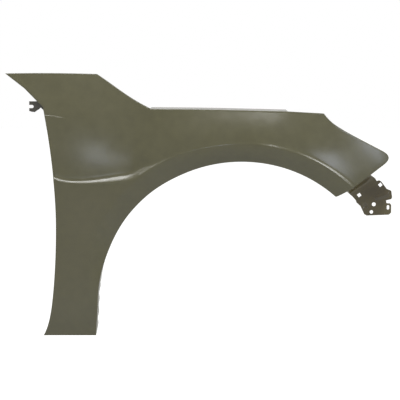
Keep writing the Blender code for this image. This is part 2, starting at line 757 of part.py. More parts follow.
def slot_points(width, length, upright=False):
    """Outline of a slot with round ends."""
    reach = (length - width) / 2.0
    points = []
    for centre, start in ((reach, -90.0), (-reach, 90.0)):
        for side in range(SLOT_END_SIDE_COUNT + 1):
            point = polar(width / 2.0, start + 180.0 * side / SLOT_END_SIDE_COUNT)
            points.append(Vector((point.x + centre, point.y)))
    return [Vector((-point.y, point.x)) for point in points] if upright else points


def add_prism(bm, points, centre, across, up, length):
    """Prism with an outline drawn along across and up, centred on a point."""
    axis = across.cross(up).normalized()
    start = centre - axis * (length / 2.0)
    verts = [bm.verts.new(start + across * point.x + up * point.y) for point in points]
    face = bm.faces.new(verts)
    made = bmesh.ops.extrude_face_region(bm, geom=[face])["geom"]
    moved = [item for item in made if isinstance(item, bmesh.types.BMVert)]
    bmesh.ops.translate(bm, verts=moved, vec=axis * length)


def new_object(name, bm, parent, material=None):
    """Object from a bmesh, parented to the fender's origin; without a material it is a cutter."""
    if material is None:
        bmesh.ops.recalc_face_normals(bm, faces=bm.faces)
    mesh = bpy.data.meshes.new(name)
    bm.to_mesh(mesh)
    bm.free()
    made = bpy.data.objects.new(name, mesh)
    bpy.context.scene.collection.objects.link(made)
    made.parent = parent
    if material is None:
        made.hide_render = True
        made.display_type = "WIRE"
    else:
        mesh.materials.append(material)
        mesh.shade_smooth()
        mesh.set_sharp_from_angle(angle=radians(SHARP_ANGLE))
    return made


def add_modifiers(target, thickness, cutters):
    """Give a sheet its thickness towards the inside, then trim and pierce it."""
    wall = target.modifiers.new("sheet thickness", "SOLIDIFY")
    wall.thickness = thickness
    wall.offset = -1.0
    wall.use_even_offset = True
    for operation, cutter in cutters:
        cut = target.modifiers.new(cutter.name, "BOOLEAN")
        cut.operation = operation
        cut.solver = "EXACT"
        cut.object = cutter


def panel_holes():
    """Bolt holes of the rail flange, slots of the sill flange and liner holes of the arch lip."""
    bm = bmesh.new()
    length = SHEET + 2.0 * CUT_OVERRUN
    for index in range(BOLT_HOLE_COUNT):
        centre = rail_centre((index + 0.5) / BOLT_HOLE_COUNT)
        add_prism(bm, circle_points(BOLT_HOLE), centre, FORWARD, INWARD, length)
    for x in (SILL_FRONT.x - SILL_SLOT_MARGIN, SILL_REAR.x + SILL_SLOT_MARGIN):
        place = Vector((x, -SILL_DROP))
        centre = Vector((x, skin_depth(place) + HOLE_DEPTH_SHARE * SILL_FLANGE, -SILL_DROP))
        add_prism(bm, slot_points(SILL_SLOT_WIDTH, SILL_SLOT_LENGTH), centre, FORWARD, INWARD, length)
    for index in range(LIP_HOLE_COUNT):
        share = index / (LIP_HOLE_COUNT - 1)
        angle = LIP_HOLE_FIRST_ANGLE + (LIP_HOLE_LAST_ANGLE - LIP_HOLE_FIRST_ANGLE) * share
        place = arch_edge(angle)
        centre = Vector((place.x, skin_depth(place) + HOLE_DEPTH_SHARE * ARCH_LIP, place.y))
        along = Vector((-place.y, 0.0, place.x)).normalized()
        add_prism(bm, circle_points(LIP_HOLE), centre, INWARD, along, length)
    return bm


# Front bracket

BRACKET_CORNER = TIP + Vector((BRACKET_FORWARD, -BRACKET_DROP))


def bracket_place(shares):
    return BRACKET_CORNER + Vector((shares[0] * BRACKET_WIDTH, shares[1] * BRACKET_HEIGHT))


def bracket_depth(place):
    """Outer face of the bracket: flat on its weld seat, then a ramp to the flat plate, with one bead."""
    along = (NOSE - TIP).normalized()
    below = (place - TIP).dot(Vector((along.y, -along.x)))
    middle = BRACKET_CORNER.x + BRACKET_WIDTH / 2.0
    plate = bracket_seat(middle) + BRACKET_SET_IN + BRACKET_FACE_SLOPE * (place.x - middle)
    seat = bracket_seat(place.x) + SEAM_GAP * hypot(1.0, BRACKET_SEAT_SLOPE)
    depth = seat + (plate - seat) * ease((below - BRACKET_RAMP_START) / BRACKET_RAMP_LENGTH)
    start, end = [bracket_place(shares) for shares in BRACKET_BEAD_SHARES]
    run = (end - start).length
    part = max(0.0, min(1.0, (place - start).dot(end - start) / run ** 2))
    miss = (place - start.lerp(end, part)).length / BRACKET_BEAD_WIDTH
    dent = (place - bracket_place(BRACKET_DENT_SHARES)).length / BRACKET_BEAD_WIDTH
    return depth + BRACKET_BEAD_HEIGHT * (ease(1.0 - dent) - ease(1.0 - miss))


def bracket_mesh():
    """Formed sheet that covers the bracket's outline, one cell wider all round."""
    columns = round(BRACKET_WIDTH / BRACKET_CELL) + 2
    rows = round(BRACKET_HEIGHT / BRACKET_CELL) + 2
    bm = bmesh.new()
    bmesh.ops.create_grid(bm, x_segments=columns, y_segments=rows, size=0.5)
    size = Vector((BRACKET_WIDTH, BRACKET_HEIGHT)) + Vector((BRACKET_CELL, BRACKET_CELL)) * 2.0
    middle = bracket_place((0.5, 0.5))
    for vert in bm.verts:
        place = middle + Vector((vert.co.x * size.x, vert.co.y * size.y))
        vert.co = (place.x, bracket_depth(place), place.y)
    return face_outwards(bm, bm.faces)


def bracket_blank():
    """Prism with the bracket's outline, which trims the formed sheet."""
    bm = bmesh.new()
    points = [bracket_place(shares) - BRACKET_CORNER for shares in BRACKET_OUTLINE_SHARES]
    centre = Vector((BRACKET_CORNER.x, bracket_depth(bracket_place((0.5, 0.5))), BRACKET_CORNER.y))
    add_prism(bm, points, centre, FORWARD, UP, BRACKET_WIDTH)
    return bm


def bracket_holes():
    """Two square holes, two round holes and one slot."""
    holes = (
        (BRACKET_UPPER_SQUARE_SHARES, circle_points(BRACKET_SQUARE_HOLE, 4, 85.0)),
        (BRACKET_LOWER_SQUARE_SHARES, circle_points(BRACKET_SQUARE_HOLE, 4, 80.0)),
        (BRACKET_ROUND_SHARES, circle_points(BRACKET_ROUND_HOLE)),
        (BRACKET_SMALL_SHARES, circle_points(BRACKET_SMALL_HOLE)),
        (BRACKET_SLOT_SHARES, slot_points(BRACKET_SLOT_WIDTH, BRACKET_SLOT_LENGTH, True)),
    )
    bm = bmesh.new()
    for shares, points in holes:
        place = bracket_place(shares)
        centre = Vector((place.x, bracket_depth(place), place.y))
        add_prism(bm, points, centre, FORWARD, UP, 2.0 * (BRACKET_SHEET + CUT_OVERRUN))
    return bm


# Pillar fork

FORK_CORNER = DOOR_TOP + Vector((-FORK_REACH, FORK_TOP_RISE - FORK_HEIGHT))


def fork_mesh():
    """Flat plate with the fork's outline; its thickness lies behind the weld seat."""
    bm = bmesh.new()
    depth = FORK_SEAT + SEAM_GAP
    verts = []
    for x_share, z_share in FORK_OUTLINE_SHARES:
        place = FORK_CORNER + Vector((x_share * FORK_WIDTH, z_share * FORK_HEIGHT))
        verts.append(bm.verts.new((place.x, depth, place.y)))
    bm.faces.new(verts)
    return face_outwards(bm, bm.faces)


def fork_slot():
    """Slot with one round end, open to the rear."""
    bm = bmesh.new()
    length = 2.0 * FORK_SLOT_LENGTH
    centre = Vector((FORK_CORNER.x, FORK_SEAT, FORK_CORNER.y + FORK_SLOT_SHARE * FORK_HEIGHT))
    points = slot_points(FORK_SLOT_WIDTH, length)
    add_prism(bm, points, centre, FORWARD, UP, 2.0 * (FORK_SHEET + CUT_OVERRUN))
    return bm


def electrocoat(name, colour, roughness):
    """Cured primer film on sheet steel: a paint, so not metallic."""
    material = bpy.data.materials.new(name)
    material.use_nodes = True
    shader = material.node_tree.nodes["Principled BSDF"]
    shader.inputs["Base Color"].default_value = (*colour, 1.0)
    shader.inputs["Roughness"].default_value = roughness
    shader.inputs["Metallic"].default_value = 0.0
    return material


def build():
    """Put the three pieces together, with the origin on the underside of the rail flange."""
    origin = bpy.data.objects.new("fender_origin", None)
    bpy.context.scene.collection.objects.link(origin)
    mount = rail_centre(0.5) - UP * SHEET
    origin.location = -mount

    primer = electrocoat("panel primer", (0.125, 0.117, 0.077), 0.42)
    bracket_primer = electrocoat("bracket primer", (0.075, 0.069, 0.040), 0.45)
    fork_primer = electrocoat("fork primer", (0.055, 0.052, 0.033), 0.45)

    panel = new_object("fender_panel", panel_mesh(), origin, primer)
    holes = new_object("panel hole cutter", panel_holes(), origin)
    add_modifiers(panel, SHEET, [("DIFFERENCE", holes)])

    bracket = new_object("front_bracket", bracket_mesh(), origin, bracket_primer)
    blank = new_object("bracket outline cutter", bracket_blank(), origin)
    piercing = new_object("bracket hole cutter", bracket_holes(), origin)
    add_modifiers(bracket, BRACKET_SHEET, [("INTERSECT", blank), ("DIFFERENCE", piercing)])

    fork = new_object("pillar_fork", fork_mesh(), origin, fork_primer)
    slot = new_object("fork slot cutter", fork_slot(), origin)
    add_modifiers(fork, FORK_SHEET, [("DIFFERENCE", slot)])


build()
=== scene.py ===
from math import atan2, cos, degrees, exp, hypot, pi, radians, sin

import bmesh
import bpy
from bpy.props import FloatProperty, PointerProperty, StringProperty
from mathutils import Matrix, Vector


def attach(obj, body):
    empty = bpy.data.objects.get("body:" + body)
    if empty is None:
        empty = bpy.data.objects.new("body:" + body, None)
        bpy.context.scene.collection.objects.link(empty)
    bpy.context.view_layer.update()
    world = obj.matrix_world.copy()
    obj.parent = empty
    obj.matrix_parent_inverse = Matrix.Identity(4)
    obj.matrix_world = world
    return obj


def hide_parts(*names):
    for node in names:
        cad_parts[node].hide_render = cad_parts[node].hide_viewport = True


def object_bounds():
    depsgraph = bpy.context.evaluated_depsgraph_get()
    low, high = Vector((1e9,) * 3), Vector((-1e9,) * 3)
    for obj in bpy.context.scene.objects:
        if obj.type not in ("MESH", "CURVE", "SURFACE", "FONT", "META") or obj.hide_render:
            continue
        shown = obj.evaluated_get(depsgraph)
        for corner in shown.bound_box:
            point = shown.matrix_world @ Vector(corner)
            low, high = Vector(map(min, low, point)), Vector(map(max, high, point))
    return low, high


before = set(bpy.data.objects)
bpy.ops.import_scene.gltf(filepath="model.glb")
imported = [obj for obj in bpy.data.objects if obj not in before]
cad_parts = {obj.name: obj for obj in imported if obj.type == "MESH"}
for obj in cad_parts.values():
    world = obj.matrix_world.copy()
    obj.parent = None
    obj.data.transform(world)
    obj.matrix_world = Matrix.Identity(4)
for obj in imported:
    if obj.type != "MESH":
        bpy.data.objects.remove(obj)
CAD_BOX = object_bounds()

bl_info = {
    "name": "Front Fender",
    "version": (1, 0, 0),
    "blender": (4, 5, 0),
    "location": "3D View > Sidebar > Fender",
    "description": "Models the right-hand front fender of a saloon car in primed sheet steel",
    "category": "Object",
}

# All shapes are drawn from the centre of the wheel arch: x runs to the front of the car, z up, and y to
# the middle of the car, with y = 0 in the widest plane of the flare. finish_piece() then moves a mesh so
# that the origin lies on the underside of the bolt flange along the hood.

# Sheet and folds, in metres
SHEET = 0.0008
BRACKET_SHEET = 0.0014
FORK_SHEET = 0.0020
FOLD_RADIUS = 0.0025
FOLD_LEAST_SHARE = 0.25
FOLD_RELIEF_LENGTH = 0.016
FOLD_MITRE_LEAST = 0.5
FOLD_CORNER_SHARE = 1.1
FOLD_INSET_CURVE = 4
SEAM_GAP = 0.0003
CUT_OVERRUN = 0.004

# Wheel arch and the leg behind it
ARCH_RADIUS = 0.360
ARCH_TIP_ANGLE = 48.4
ARCH_SWELL = 0.0025
SWELL_FRONT_ANGLES = (112.0, 132.0)
SWELL_REAR_ANGLES = (140.0, 160.0)
SILL_DROP = 0.078
LEG_SWEEP = 0.005
LEG_WIDTH = 0.1043

# Flare round the arch: a face that leans in from a ridge to the arch edge, and above the ridge a ledge,
# which along the shoulder is rounder, with a short flat, a quick fall and a gentle tail
FACE_WIDTH = 0.046
FACE_WIDTH_GROWTH = 0.005
FACE_GROWTH_ANGLES = (95.0, 125.0)
FACE_DEPTH = 0.013
LEG_FACE_LOSS_SHARE = 0.50
LEG_FADE_ANGLES = (148.0, 176.0)
SOFT_FRONT_ANGLES = (70.0, 90.0)
SOFT_REAR_ANGLES = (108.0, 120.0)
SOFT_LEDGE_SHARE = 0.80
FACE_CURVE = 1.3
SOFT_FACE_CURVE = 0.7
FLARE_BLEND = 0.120
FLARE_SWEEP_SHARE = 0.68
LEDGE_DEPTH = 0.007
LEDGE_BLEND = 0.008
LEDGE_ROUND = 0.0012
LEDGE_FALL = 0.0035
LEDGE_TAIL = 0.040
SHOULDER_LEDGE_SHARE = 0.75
SHOULDER_SLOPE_LOSS_SHARE = 0.20
SHOULDER_CORNER = 0.012
SHOULDER_ROUND_SHARE = 2.6
SHOULDER_FLAT = 0.013
REAR_FLAT_SHARE = 0.3
SHOULDER_SHIFT = 0.004
FRONT_LEDGE_LOSS_SHARE = 0.55
FRONT_LEDGE_ANGLES = (75.0, 95.0)
SHOULDER_GROWTH = (-0.450, -0.250)
SHOULDER_DECLINE = (-0.275, -0.205)

# Door edge, from the sill to the corner under the wing; heights count from the crown of the arch
WAIST_HEIGHT = 0.200
SILL_SWEEP = 0.0208
SILL_FLICK = 0.0124
SILL_FLICK_CURVE = 9
SHOULDER_DROP = 0.044
SHOULDER_ANGLE = 129.5
SHOULDER_DIP = 0.0105
SHOULDER_DIP_SKEW = 0.65
SHOULDER_SPREAD_BELOW = 22.0
SHOULDER_SPREAD_ABOVE = 5.5
DIP_START_LENGTH = 0.030
DOOR_TOP_RISE = 0.1357
DOOR_TOP_SWEEP = 0.0335
DOOR_TOP_CURVE = 1.85
UPPER_CREASE_DROP = 0.0197
DOOR_CROWD_CURVE = 1.5

# Wing beside the windscreen pillar
KINK_RUN = 0.0476
KINK_RISE = 0.0468
TIP_RUN = 0.0496
TIP_RISE = 0.0373
WING_LENGTH = 0.2317
WING_FALL = 0.0015
WING_CROWN = 0.0015
SLOPE_RUN = 0.138
SLOPE_DROP = 0.0872
SLOPE_HOLLOW = 0.0038
SLOPE_CURVE = 1.5

# Hood line, headlamp edge, nose and bumper edge
HOOD_LENGTH = 0.340
HOOD_FALL = 0.0065
HOOD_CROWN = 0.0015
FRONT_TOP_LENGTH = 0.0955
FRONT_TOP_FALL = 0.0064
NOSE_REACH = 0.1537
NOSE_RISE = 0.0963
NOSE_ROUND = 0.034
NOSE_SIDE_SHARE = 0.97
LAMP_HOLLOW_RUN = 0.025
LAMP_HOLLOW_DROP = 0.0305
BUMPER_HOLLOW = 0.0045
BUMPER_SKEW = 0.6

# Section of the skin
SWEEP_START = -0.050
SWEEP_STRAIGHT = 0.250
SWEEP_SLOPE = 0.36
LEAN_START_DROP = 0.060
LEAN_CURVE = 1.7
LEAN_REAR = 0.026
LEAN_FRONT = 0.040
LEAN_FADE_START = -0.480
LEAN_FADE_LENGTH = 0.400
WING_SLOPE = 0.10
CREASE_BLEND = 0.004
CREASE_STEP_DEPTH = 0.0005
CREASE_STEP_HEIGHT = 0.0012
CREASE_STEP_FADE = (-0.460, -0.425)
WING_FADE_START = -0.460
WING_FADE_LENGTH = 0.260
SILL_TUCK = 0.010
SILL_TUCK_START = 0.030

# Turned edges
ARCH_LIP = 0.018
LEG_LIP_DRAFT = 0.20
LEG_DRAFT_ANGLES = (160.0, 175.0)
LEG_TAB_START_ANGLE = 170.0
LEG_TAB_PITCH = 0.032
LEG_TAB_DEPTH = 0.008
SILL_FLANGE = 0.022
DOOR_HEM = 0.013
WING_HEM = 0.006
SLOPE_HEM = 0.010
FRONT_TOP_HEM = 0.012
LAMP_HEM = 0.015
RELIEF_DEPTH = 0.0045
RELIEF_LENGTH = 0.012
STEP_LENGTH = 0.004

# Hood shelf, its wall and the bolt flange on the rail
SHELF_DEPTH = 0.045
SHELF_RISE = 0.003
WALL_DROP = 0.030
BOLT_FLANGE = 0.024
BOLT_HOLE = 0.009
BOLT_HOLE_COUNT = 4

# Small holes
SILL_SLOT_WIDTH = 0.007
SILL_SLOT_LENGTH = 0.014
SILL_SLOT_MARGIN = 0.036
LIP_HOLE = 0.006
HOLE_DEPTH_SHARE = 0.6
LIP_HOLE_COUNT = 5
LIP_HOLE_FIRST_ANGLE = 64.0
LIP_HOLE_LAST_ANGLE = 158.0

# Weld flanges that carry the two stampings
BRACKET_SEAT_DEPTH = 0.012
BRACKET_SEAT_SLOPE = 0.50
WELD_FLANGE = 0.014
WELD_END_MARGIN = 0.020
FORK_SEAT_DEPTH = 0.016
FORK_EAR_LENGTH = 0.046
FORK_EAR_MARGIN = 0.008
FORK_EAR_WIDTH = 0.017

# Front bracket
BRACKET_WIDTH = 0.125
BRACKET_HEIGHT = 0.115
BRACKET_FORWARD = 0.0248
BRACKET_DROP = 0.0537
BRACKET_SET_IN = 0.012
BRACKET_FACE_SLOPE = 0.12
BRACKET_RAMP_START = 0.003
BRACKET_RAMP_LENGTH = 0.018
BRACKET_CELL = 0.0008
BRACKET_BEAD_HEIGHT = 0.003
BRACKET_BEAD_WIDTH = 0.009
BRACKET_SQUARE_HOLE = 0.0085
BRACKET_ROUND_HOLE = 0.010
BRACKET_SMALL_HOLE = 0.009
BRACKET_SLOT_WIDTH = 0.0065
BRACKET_SLOT_LENGTH = 0.0115

# Pillar fork
FORK_WIDTH = 0.0600
FORK_HEIGHT = 0.0547
FORK_REACH = 0.0352
FORK_TOP_RISE = 0.0145
FORK_SLOT_WIDTH = 0.008
FORK_SLOT_LENGTH = 0.0111

# Mesh density
FACE_ROW_COUNT = 16
LEDGE_ROWS = (0.0012, 0.0024, 0.0037, 0.0050, 0.0065, 0.0081, 0.0099, 0.0120, 0.0144, 0.0172, 0.0205)
SKIN_ROWS = 46
SIDE_FADE_COLUMN_COUNT = 35
HOLE_SIDE_COUNT = 40
FOLD_STEPS = 5
SLOT_END_SIDE_COUNT = 16
SHARP_ANGLE = 38.0

# Outline of the front bracket as shares of its width and height, from its lower rear corner
BRACKET_OUTLINE_SHARES = (
    (0.000, 0.676), (0.456, 0.997), (0.564, 0.897), (0.646, 0.830), (0.678, 0.771), (0.727, 0.785),
    (0.773, 0.758), (0.887, 0.593), (0.981, 0.549), (1.000, 0.397), (0.981, 0.361), (0.875, 0.335),
    (0.883, 0.272), (0.957, 0.268), (0.981, 0.232), (0.981, 0.058), (0.932, 0.013), (0.474, 0.000),
    (0.424, 0.032), (0.344, 0.214), (0.262, 0.295), (0.246, 0.348), (0.180, 0.428), (0.060, 0.540),
)

# Holes of the front bracket, as shares of its width and height, and the turn of the squares in degrees
BRACKET_SQUARES = (((0.752, 0.683), 85.0), ((0.318, 0.459), 80.0))
BRACKET_ROUND_SHARES = (0.621, 0.250)
BRACKET_SMALL_SHARES = (0.572, 0.080)
BRACKET_SLOT_SHARES = (0.915, 0.178)
BRACKET_BEAD_SHARES = ((0.700, 0.405), (0.900, 0.475))
BRACKET_DENT_SHARES = (0.440, 0.215)

# Outline of the pillar fork as shares of its width and height, from its lower rear corner
FORK_OUTLINE_SHARES = (
    (0.000, 1.000), (0.619, 1.000), (0.792, 0.914), (1.000, 0.676), (1.000, 0.000), (0.757, 0.000),
    (0.688, 0.384), (0.567, 0.622), (0.480, 0.706), (0.411, 0.631), (0.324, 0.576), (0.237, 0.501),
    (0.116, 0.512), (0.000, 0.556),
)
FORK_SLOT_SHARE = 0.759

# Point that the camera looks at
VIEW_AIM = Vector((-0.1033, 0.0, 0.2655))

# Directions
FORWARD = Vector((1.0, 0.0, 0.0))
INWARD = Vector((0.0, 1.0, 0.0))
UP = Vector((0.0, 0.0, 1.0))

# Heights and corner points of the outline, seen from the side as (x, z)
SHOULDER_HEIGHT = ARCH_RADIUS - SHOULDER_DROP
LEAN_START = ARCH_RADIUS - LEAN_START_DROP
DOOR_TOP_HEIGHT = ARCH_RADIUS + DOOR_TOP_RISE
UPPER_CREASE_HEIGHT = DOOR_TOP_HEIGHT - UPPER_CREASE_DROP
CREASE_FOOT_HEIGHT = UPPER_CREASE_HEIGHT - CREASE_STEP_HEIGHT
FORK_EAR_TOP = DOOR_TOP_HEIGHT - FORK_EAR_MARGIN
FORK_EAR_BOTTOM = FORK_EAR_TOP - FORK_EAR_LENGTH
DOOR_WAIST_X = -(ARCH_RADIUS + LEG_WIDTH)
SILL_FRONT = Vector((-(ARCH_RADIUS + LEG_SWEEP), -SILL_DROP))
SILL_REAR = Vector((DOOR_WAIST_X - SILL_SWEEP - SILL_FLICK, -SILL_DROP))
DOOR_TOP = Vector((DOOR_WAIST_X - DOOR_TOP_SWEEP, DOOR_TOP_HEIGHT))
WING_KINK = DOOR_TOP + Vector((-KINK_RUN, KINK_RISE))
WING_TIP = WING_KINK + Vector((-TIP_RUN, TIP_RISE))
WING_FRONT = WING_TIP + Vector((WING_LENGTH, -WING_FALL))
HOOD_REAR = WING_FRONT + Vector((SLOPE_RUN, -SLOPE_DROP))
HOOD_FRONT = HOOD_REAR + Vector((HOOD_LENGTH, -HOOD_FALL))
LAMP_TOP = HOOD_FRONT + Vector((FRONT_TOP_LENGTH, -FRONT_TOP_FALL))
TIP = Vector((cos(radians(ARCH_TIP_ANGLE)), sin(radians(ARCH_TIP_ANGLE)))) * ARCH_RADIUS
NOSE = TIP + Vector((NOSE_REACH, NOSE_RISE))
LEG_ANGLE = degrees(SILL_DROP / ARCH_RADIUS)
BOLT_HEIGHT = HOOD_FRONT.y + SHELF_RISE - WALL_DROP

# Depth of the turned edge on each stretch of the outline; two stretches are worked out below
HEM_DEPTHS = {
    "arch": ARCH_LIP, "sill": SILL_FLANGE, "door": DOOR_HEM, "door top": DOOR_HEM, "pillar": WING_HEM,
    "wing rear": WING_HEM, "wing top": WING_HEM, "slope": SLOPE_HEM, "hood": SHELF_DEPTH,
    "front top": FRONT_TOP_HEM, "lamp": LAMP_HEM,
}

# Primer film: the size of its patterns in metres, and how strongly each shows
PRIMER_IOR = 1.5
DRIFT_SIZE = 0.125
DRIFT_CONTRAST = (0.35, 0.65)
FILM_SIZE = 0.025
FILM_TINT = 0.25
FILM_SPAN = (0.3, 0.7)
SHEEN_SPAN = (-0.02, 0.03)
PEEL_SIZE = 0.005
PEEL_HEIGHT = 0.0006
PEEL_STRENGTH = 0.06
WHITE = (1.0, 1.0, 1.0, 1.0)
PATTERN_STARTS = {"panel": 0.0, "bracket": 3.0, "fork": 7.0}

# Studio: film width in millimetres, and the floor
FILM_WIDTH = 36.0
VIEW_DEPTH = 60.0
FLOOR_RADIUS = 14.0
FLOOR_SIDE_COUNT = 96
FLOOR_ROUGHNESS = 0.9
FLOOR_GLOW = 0.8

# Softboxes: place as seen from the middle of the fender, width and height, power in watts, and tint
SOFTBOXES = (
    ("top", (-0.1, -0.98, 2.19), (2.6, 0.3), 36.0, "FFFFFF"),
    ("rear", (0.03, -3.1, 0.8), (0.22, 0.14), 3.3, "E4ECFF"),
    ("nose", (2.46, -1.82, 1.2), (0.8, 0.6), 8.0, "E4ECFF"),
    ("lamp", (2.5, -0.4, 2.0), (0.6, 1.2), 22.0, "FFFFFF"),
    ("door", (-2.05, -1.2, 1.9), (0.6, 0.3), 14.0, "FFFFFF"),
    ("front", (0.3, -4.0, -0.9), (2.4, 1.0), 8.0, "FFF2DC"),
)


def ease(share):
    """Smooth step from 0 to 1."""
    share = max(0.0, min(1.0, share))
    return share * share * (3.0 - 2.0 * share)


def between(value, limits):
    """Smooth step from 0 at the first limit to 1 at the second."""
    return ease((value - limits[0]) / (limits[1] - limits[0]))


def polar(radius, angle):
    """Point at a radius and an angle in degrees round the arch centre."""
    return Vector((radius * cos(radians(angle)), radius * sin(radians(angle))))


def bezier(share, *points):
    """Point on a Bezier curve of any order."""
    while len(points) > 1:
        points = [first.lerp(second, share) for first, second in zip(points, points[1:])]
    return points[0]


def bowed(start, end, bow, skew=1.0):
    """Span from start to end that bows to the left of the straight line, or right if negative."""
    along = (end - start).normalized()
    left = Vector((-along.y, along.x))
    return lambda share: start.lerp(end, share) + left * bow * sin(pi * share ** skew)


def side_normal(before, point, after):
    """Outward normal of the outline, lengthened at a corner so that folds stay parallel."""
    first, second = [Vector((step.y, -step.x)).normalized() for step in (point - before, after - point)]
    middle = (first + second).normalized()
    return middle / max(middle.dot(first), FOLD_MITRE_LEAST)


# The outline


def arch_edge(angle):
    """Arch edge: nearly a circle, and below the arch centre the almost upright edge of the leg."""
    if angle <= 180.0:
        swell = between(angle, SWELL_FRONT_ANGLES) * (1.0 - between(angle, SWELL_REAR_ANGLES))
        return polar(ARCH_RADIUS + ARCH_SWELL * swell, angle)
    share = (angle - 180.0) / LEG_ANGLE
    return Vector((-ARCH_RADIUS - LEG_SWEEP * share, -SILL_DROP * share))


def face_width(angle):
    """Width of the flare face: wider behind the wheel, narrower down the leg."""
    grown = FACE_WIDTH + FACE_WIDTH_GROWTH * between(angle, FACE_GROWTH_ANGLES)
    return grown * (1.0 - LEG_FACE_LOSS_SHARE * between(angle, LEG_FADE_ANGLES))


def ridge_point(angle):
    """Ridge of the flare beside the arch edge."""
    if angle <= 180.0:
        return polar(ARCH_RADIUS + face_width(angle), angle)
    return arch_edge(angle) + Vector((-face_width(angle), 0.0))


def door_edge(height):
    """Door edge: from a straight waist it sweeps back to the sill and back to the wing."""
    if height < WAIST_HEIGHT:
        share = (WAIST_HEIGHT - height) / (WAIST_HEIGHT + SILL_DROP)
        flick = SILL_FLICK * share ** SILL_FLICK_CURVE
        return Vector((DOOR_WAIST_X - SILL_SWEEP * share ** 2 - flick, height))
    share = (height - WAIST_HEIGHT) / (DOOR_TOP_HEIGHT - WAIST_HEIGHT)
    return Vector((DOOR_WAIST_X - DOOR_TOP_SWEEP * share ** DOOR_TOP_CURVE, height))


def door_span(low, high, crowd=1.0):
    """Stretch of the door edge between two heights, with its columns crowded to the lower end."""
    return lambda share: door_edge(low + (high - low) * share ** crowd)


def lamp_edge(share):
    """Headlamp edge: steep below its top corner, then straight to the nose."""
    control = LAMP_TOP + Vector((LAMP_HOLLOW_RUN, -LAMP_HOLLOW_DROP))
    return bezier(share, LAMP_TOP, control, control, NOSE)


def bumper_edge(share):
    """Bumper edge from the arch tip to the nose, slightly hollow."""
    return bowed(TIP, NOSE, -BUMPER_HOLLOW, BUMPER_SKEW)(share)


def round_nose(point):
    """Pull a point near the nose corner onto the round of the nose."""
    lamp_side = (lamp_edge(NOSE_SIDE_SHARE) - NOSE).normalized()
    bumper_side = (bumper_edge(NOSE_SIDE_SHARE) - NOSE).normalized()
    reach = (point - NOSE).length
    if reach >= NOSE_ROUND:
        return point
    side = -0.5 if (point - NOSE).dot(lamp_side - bumper_side) > 0.0 else 0.5
    share = 0.5 + side * reach / NOSE_ROUND
    return bezier(share, NOSE + lamp_side * NOSE_ROUND, NOSE, NOSE + bumper_side * NOSE_ROUND)


# Spans of the outer outline, from the sill round to the nose: the kind of edge, its curve, its number of
# columns of the skin, and for the column at its far end the arch angle and the directions in which that
# column leaves the ridge and reaches the outline
SPANS = (
    ("door", door_span(-SILL_DROP, 0.0), 20, (180.0, 180.0, 180.0)),
    ("door", door_span(0.0, WAIST_HEIGHT), 36, (152.0, 180.0, 180.0)),
    ("door", door_span(WAIST_HEIGHT, SHOULDER_HEIGHT), 32, (SHOULDER_ANGLE, 180.0, 180.0)),
    ("door", door_span(SHOULDER_HEIGHT, FORK_EAR_BOTTOM, DOOR_CROWD_CURVE), 48, (125.3, 144.3, 179.2)),
    ("ear", door_span(FORK_EAR_BOTTOM, CREASE_FOOT_HEIGHT), 14, (124.5, 138.0, 179.0)),
    ("ear", door_span(CREASE_FOOT_HEIGHT, UPPER_CREASE_HEIGHT), 3, (124.4, 137.9, 179.0)),
    ("ear", door_span(UPPER_CREASE_HEIGHT, FORK_EAR_TOP), 6, (123.3, 137.4, 177.2)),
    ("door top", door_span(FORK_EAR_TOP, DOOR_TOP_HEIGHT), 4, (122.5, 137.0, 176.0)),
    ("pillar", bowed(DOOR_TOP, WING_KINK, 0.0), 16, (120.5, 136.0, 170.0)),
    ("wing rear", bowed(WING_KINK, WING_TIP, 0.0), 14, (118.5, 136.0, 162.0)),
    ("wing top", bowed(WING_TIP, WING_FRONT, WING_CROWN), 40, (114.5, 126.0, 122.0)),
    ("slope", bowed(WING_FRONT, HOOD_REAR, -SLOPE_HOLLOW, SLOPE_CURVE), 36, (110.0, 116.0, 115.0)),
    ("hood", bowed(HOOD_REAR, HOOD_FRONT, HOOD_CROWN), 70, (74.0, 80.0, 95.0)),
    ("front top", bowed(HOOD_FRONT, LAMP_TOP, 0.0), 22, (65.0, 68.0, 76.0)),
    ("lamp", lamp_edge, 64, (ARCH_TIP_ANGLE, 40.0, 35.0)),
)

# Columns of the skin between which the foot of the wing steps up
CREASE_SPAN = 5
CREASE_FIRST_COLUMN = sum(count for _, _, count, _ in SPANS[:CREASE_SPAN])
CREASE_COLUMN_COUNT = SPANS[CREASE_SPAN][2]


# The skin


def shoulder_share(x):
    """How far along the shoulder line x lies: 0 at the door edge, 1 at the flare."""
    return max(0.0, min(1.0, (x - DOOR_WAIST_X) / (ridge_point(SHOULDER_ANGLE).x - DOOR_WAIST_X)))


def shoulder_dip(x):
    """How far the shoulder line hangs below a straight line between its ends."""
    return SHOULDER_DIP * sin(pi * shoulder_share(x) ** SHOULDER_DIP_SKEW)


def shoulder_height(x):
    """Shoulder line from the door edge to the flare, with its shallow dip."""
    rise = ridge_point(SHOULDER_ANGLE).y - SHOULDER_HEIGHT
    return SHOULDER_HEIGHT + rise * shoulder_share(x) - shoulder_dip(x)


def nose_sweep(x):
    """How far the plan curve has turned to the middle of the car at x."""
    run = max(x - SWEEP_START, 0.0)
    bend = SWEEP_STRAIGHT - SWEEP_START
    if run <= bend:
        return SWEEP_SLOPE * run * run / (2.0 * bend)
    return SWEEP_SLOPE * (run - bend / 2.0)


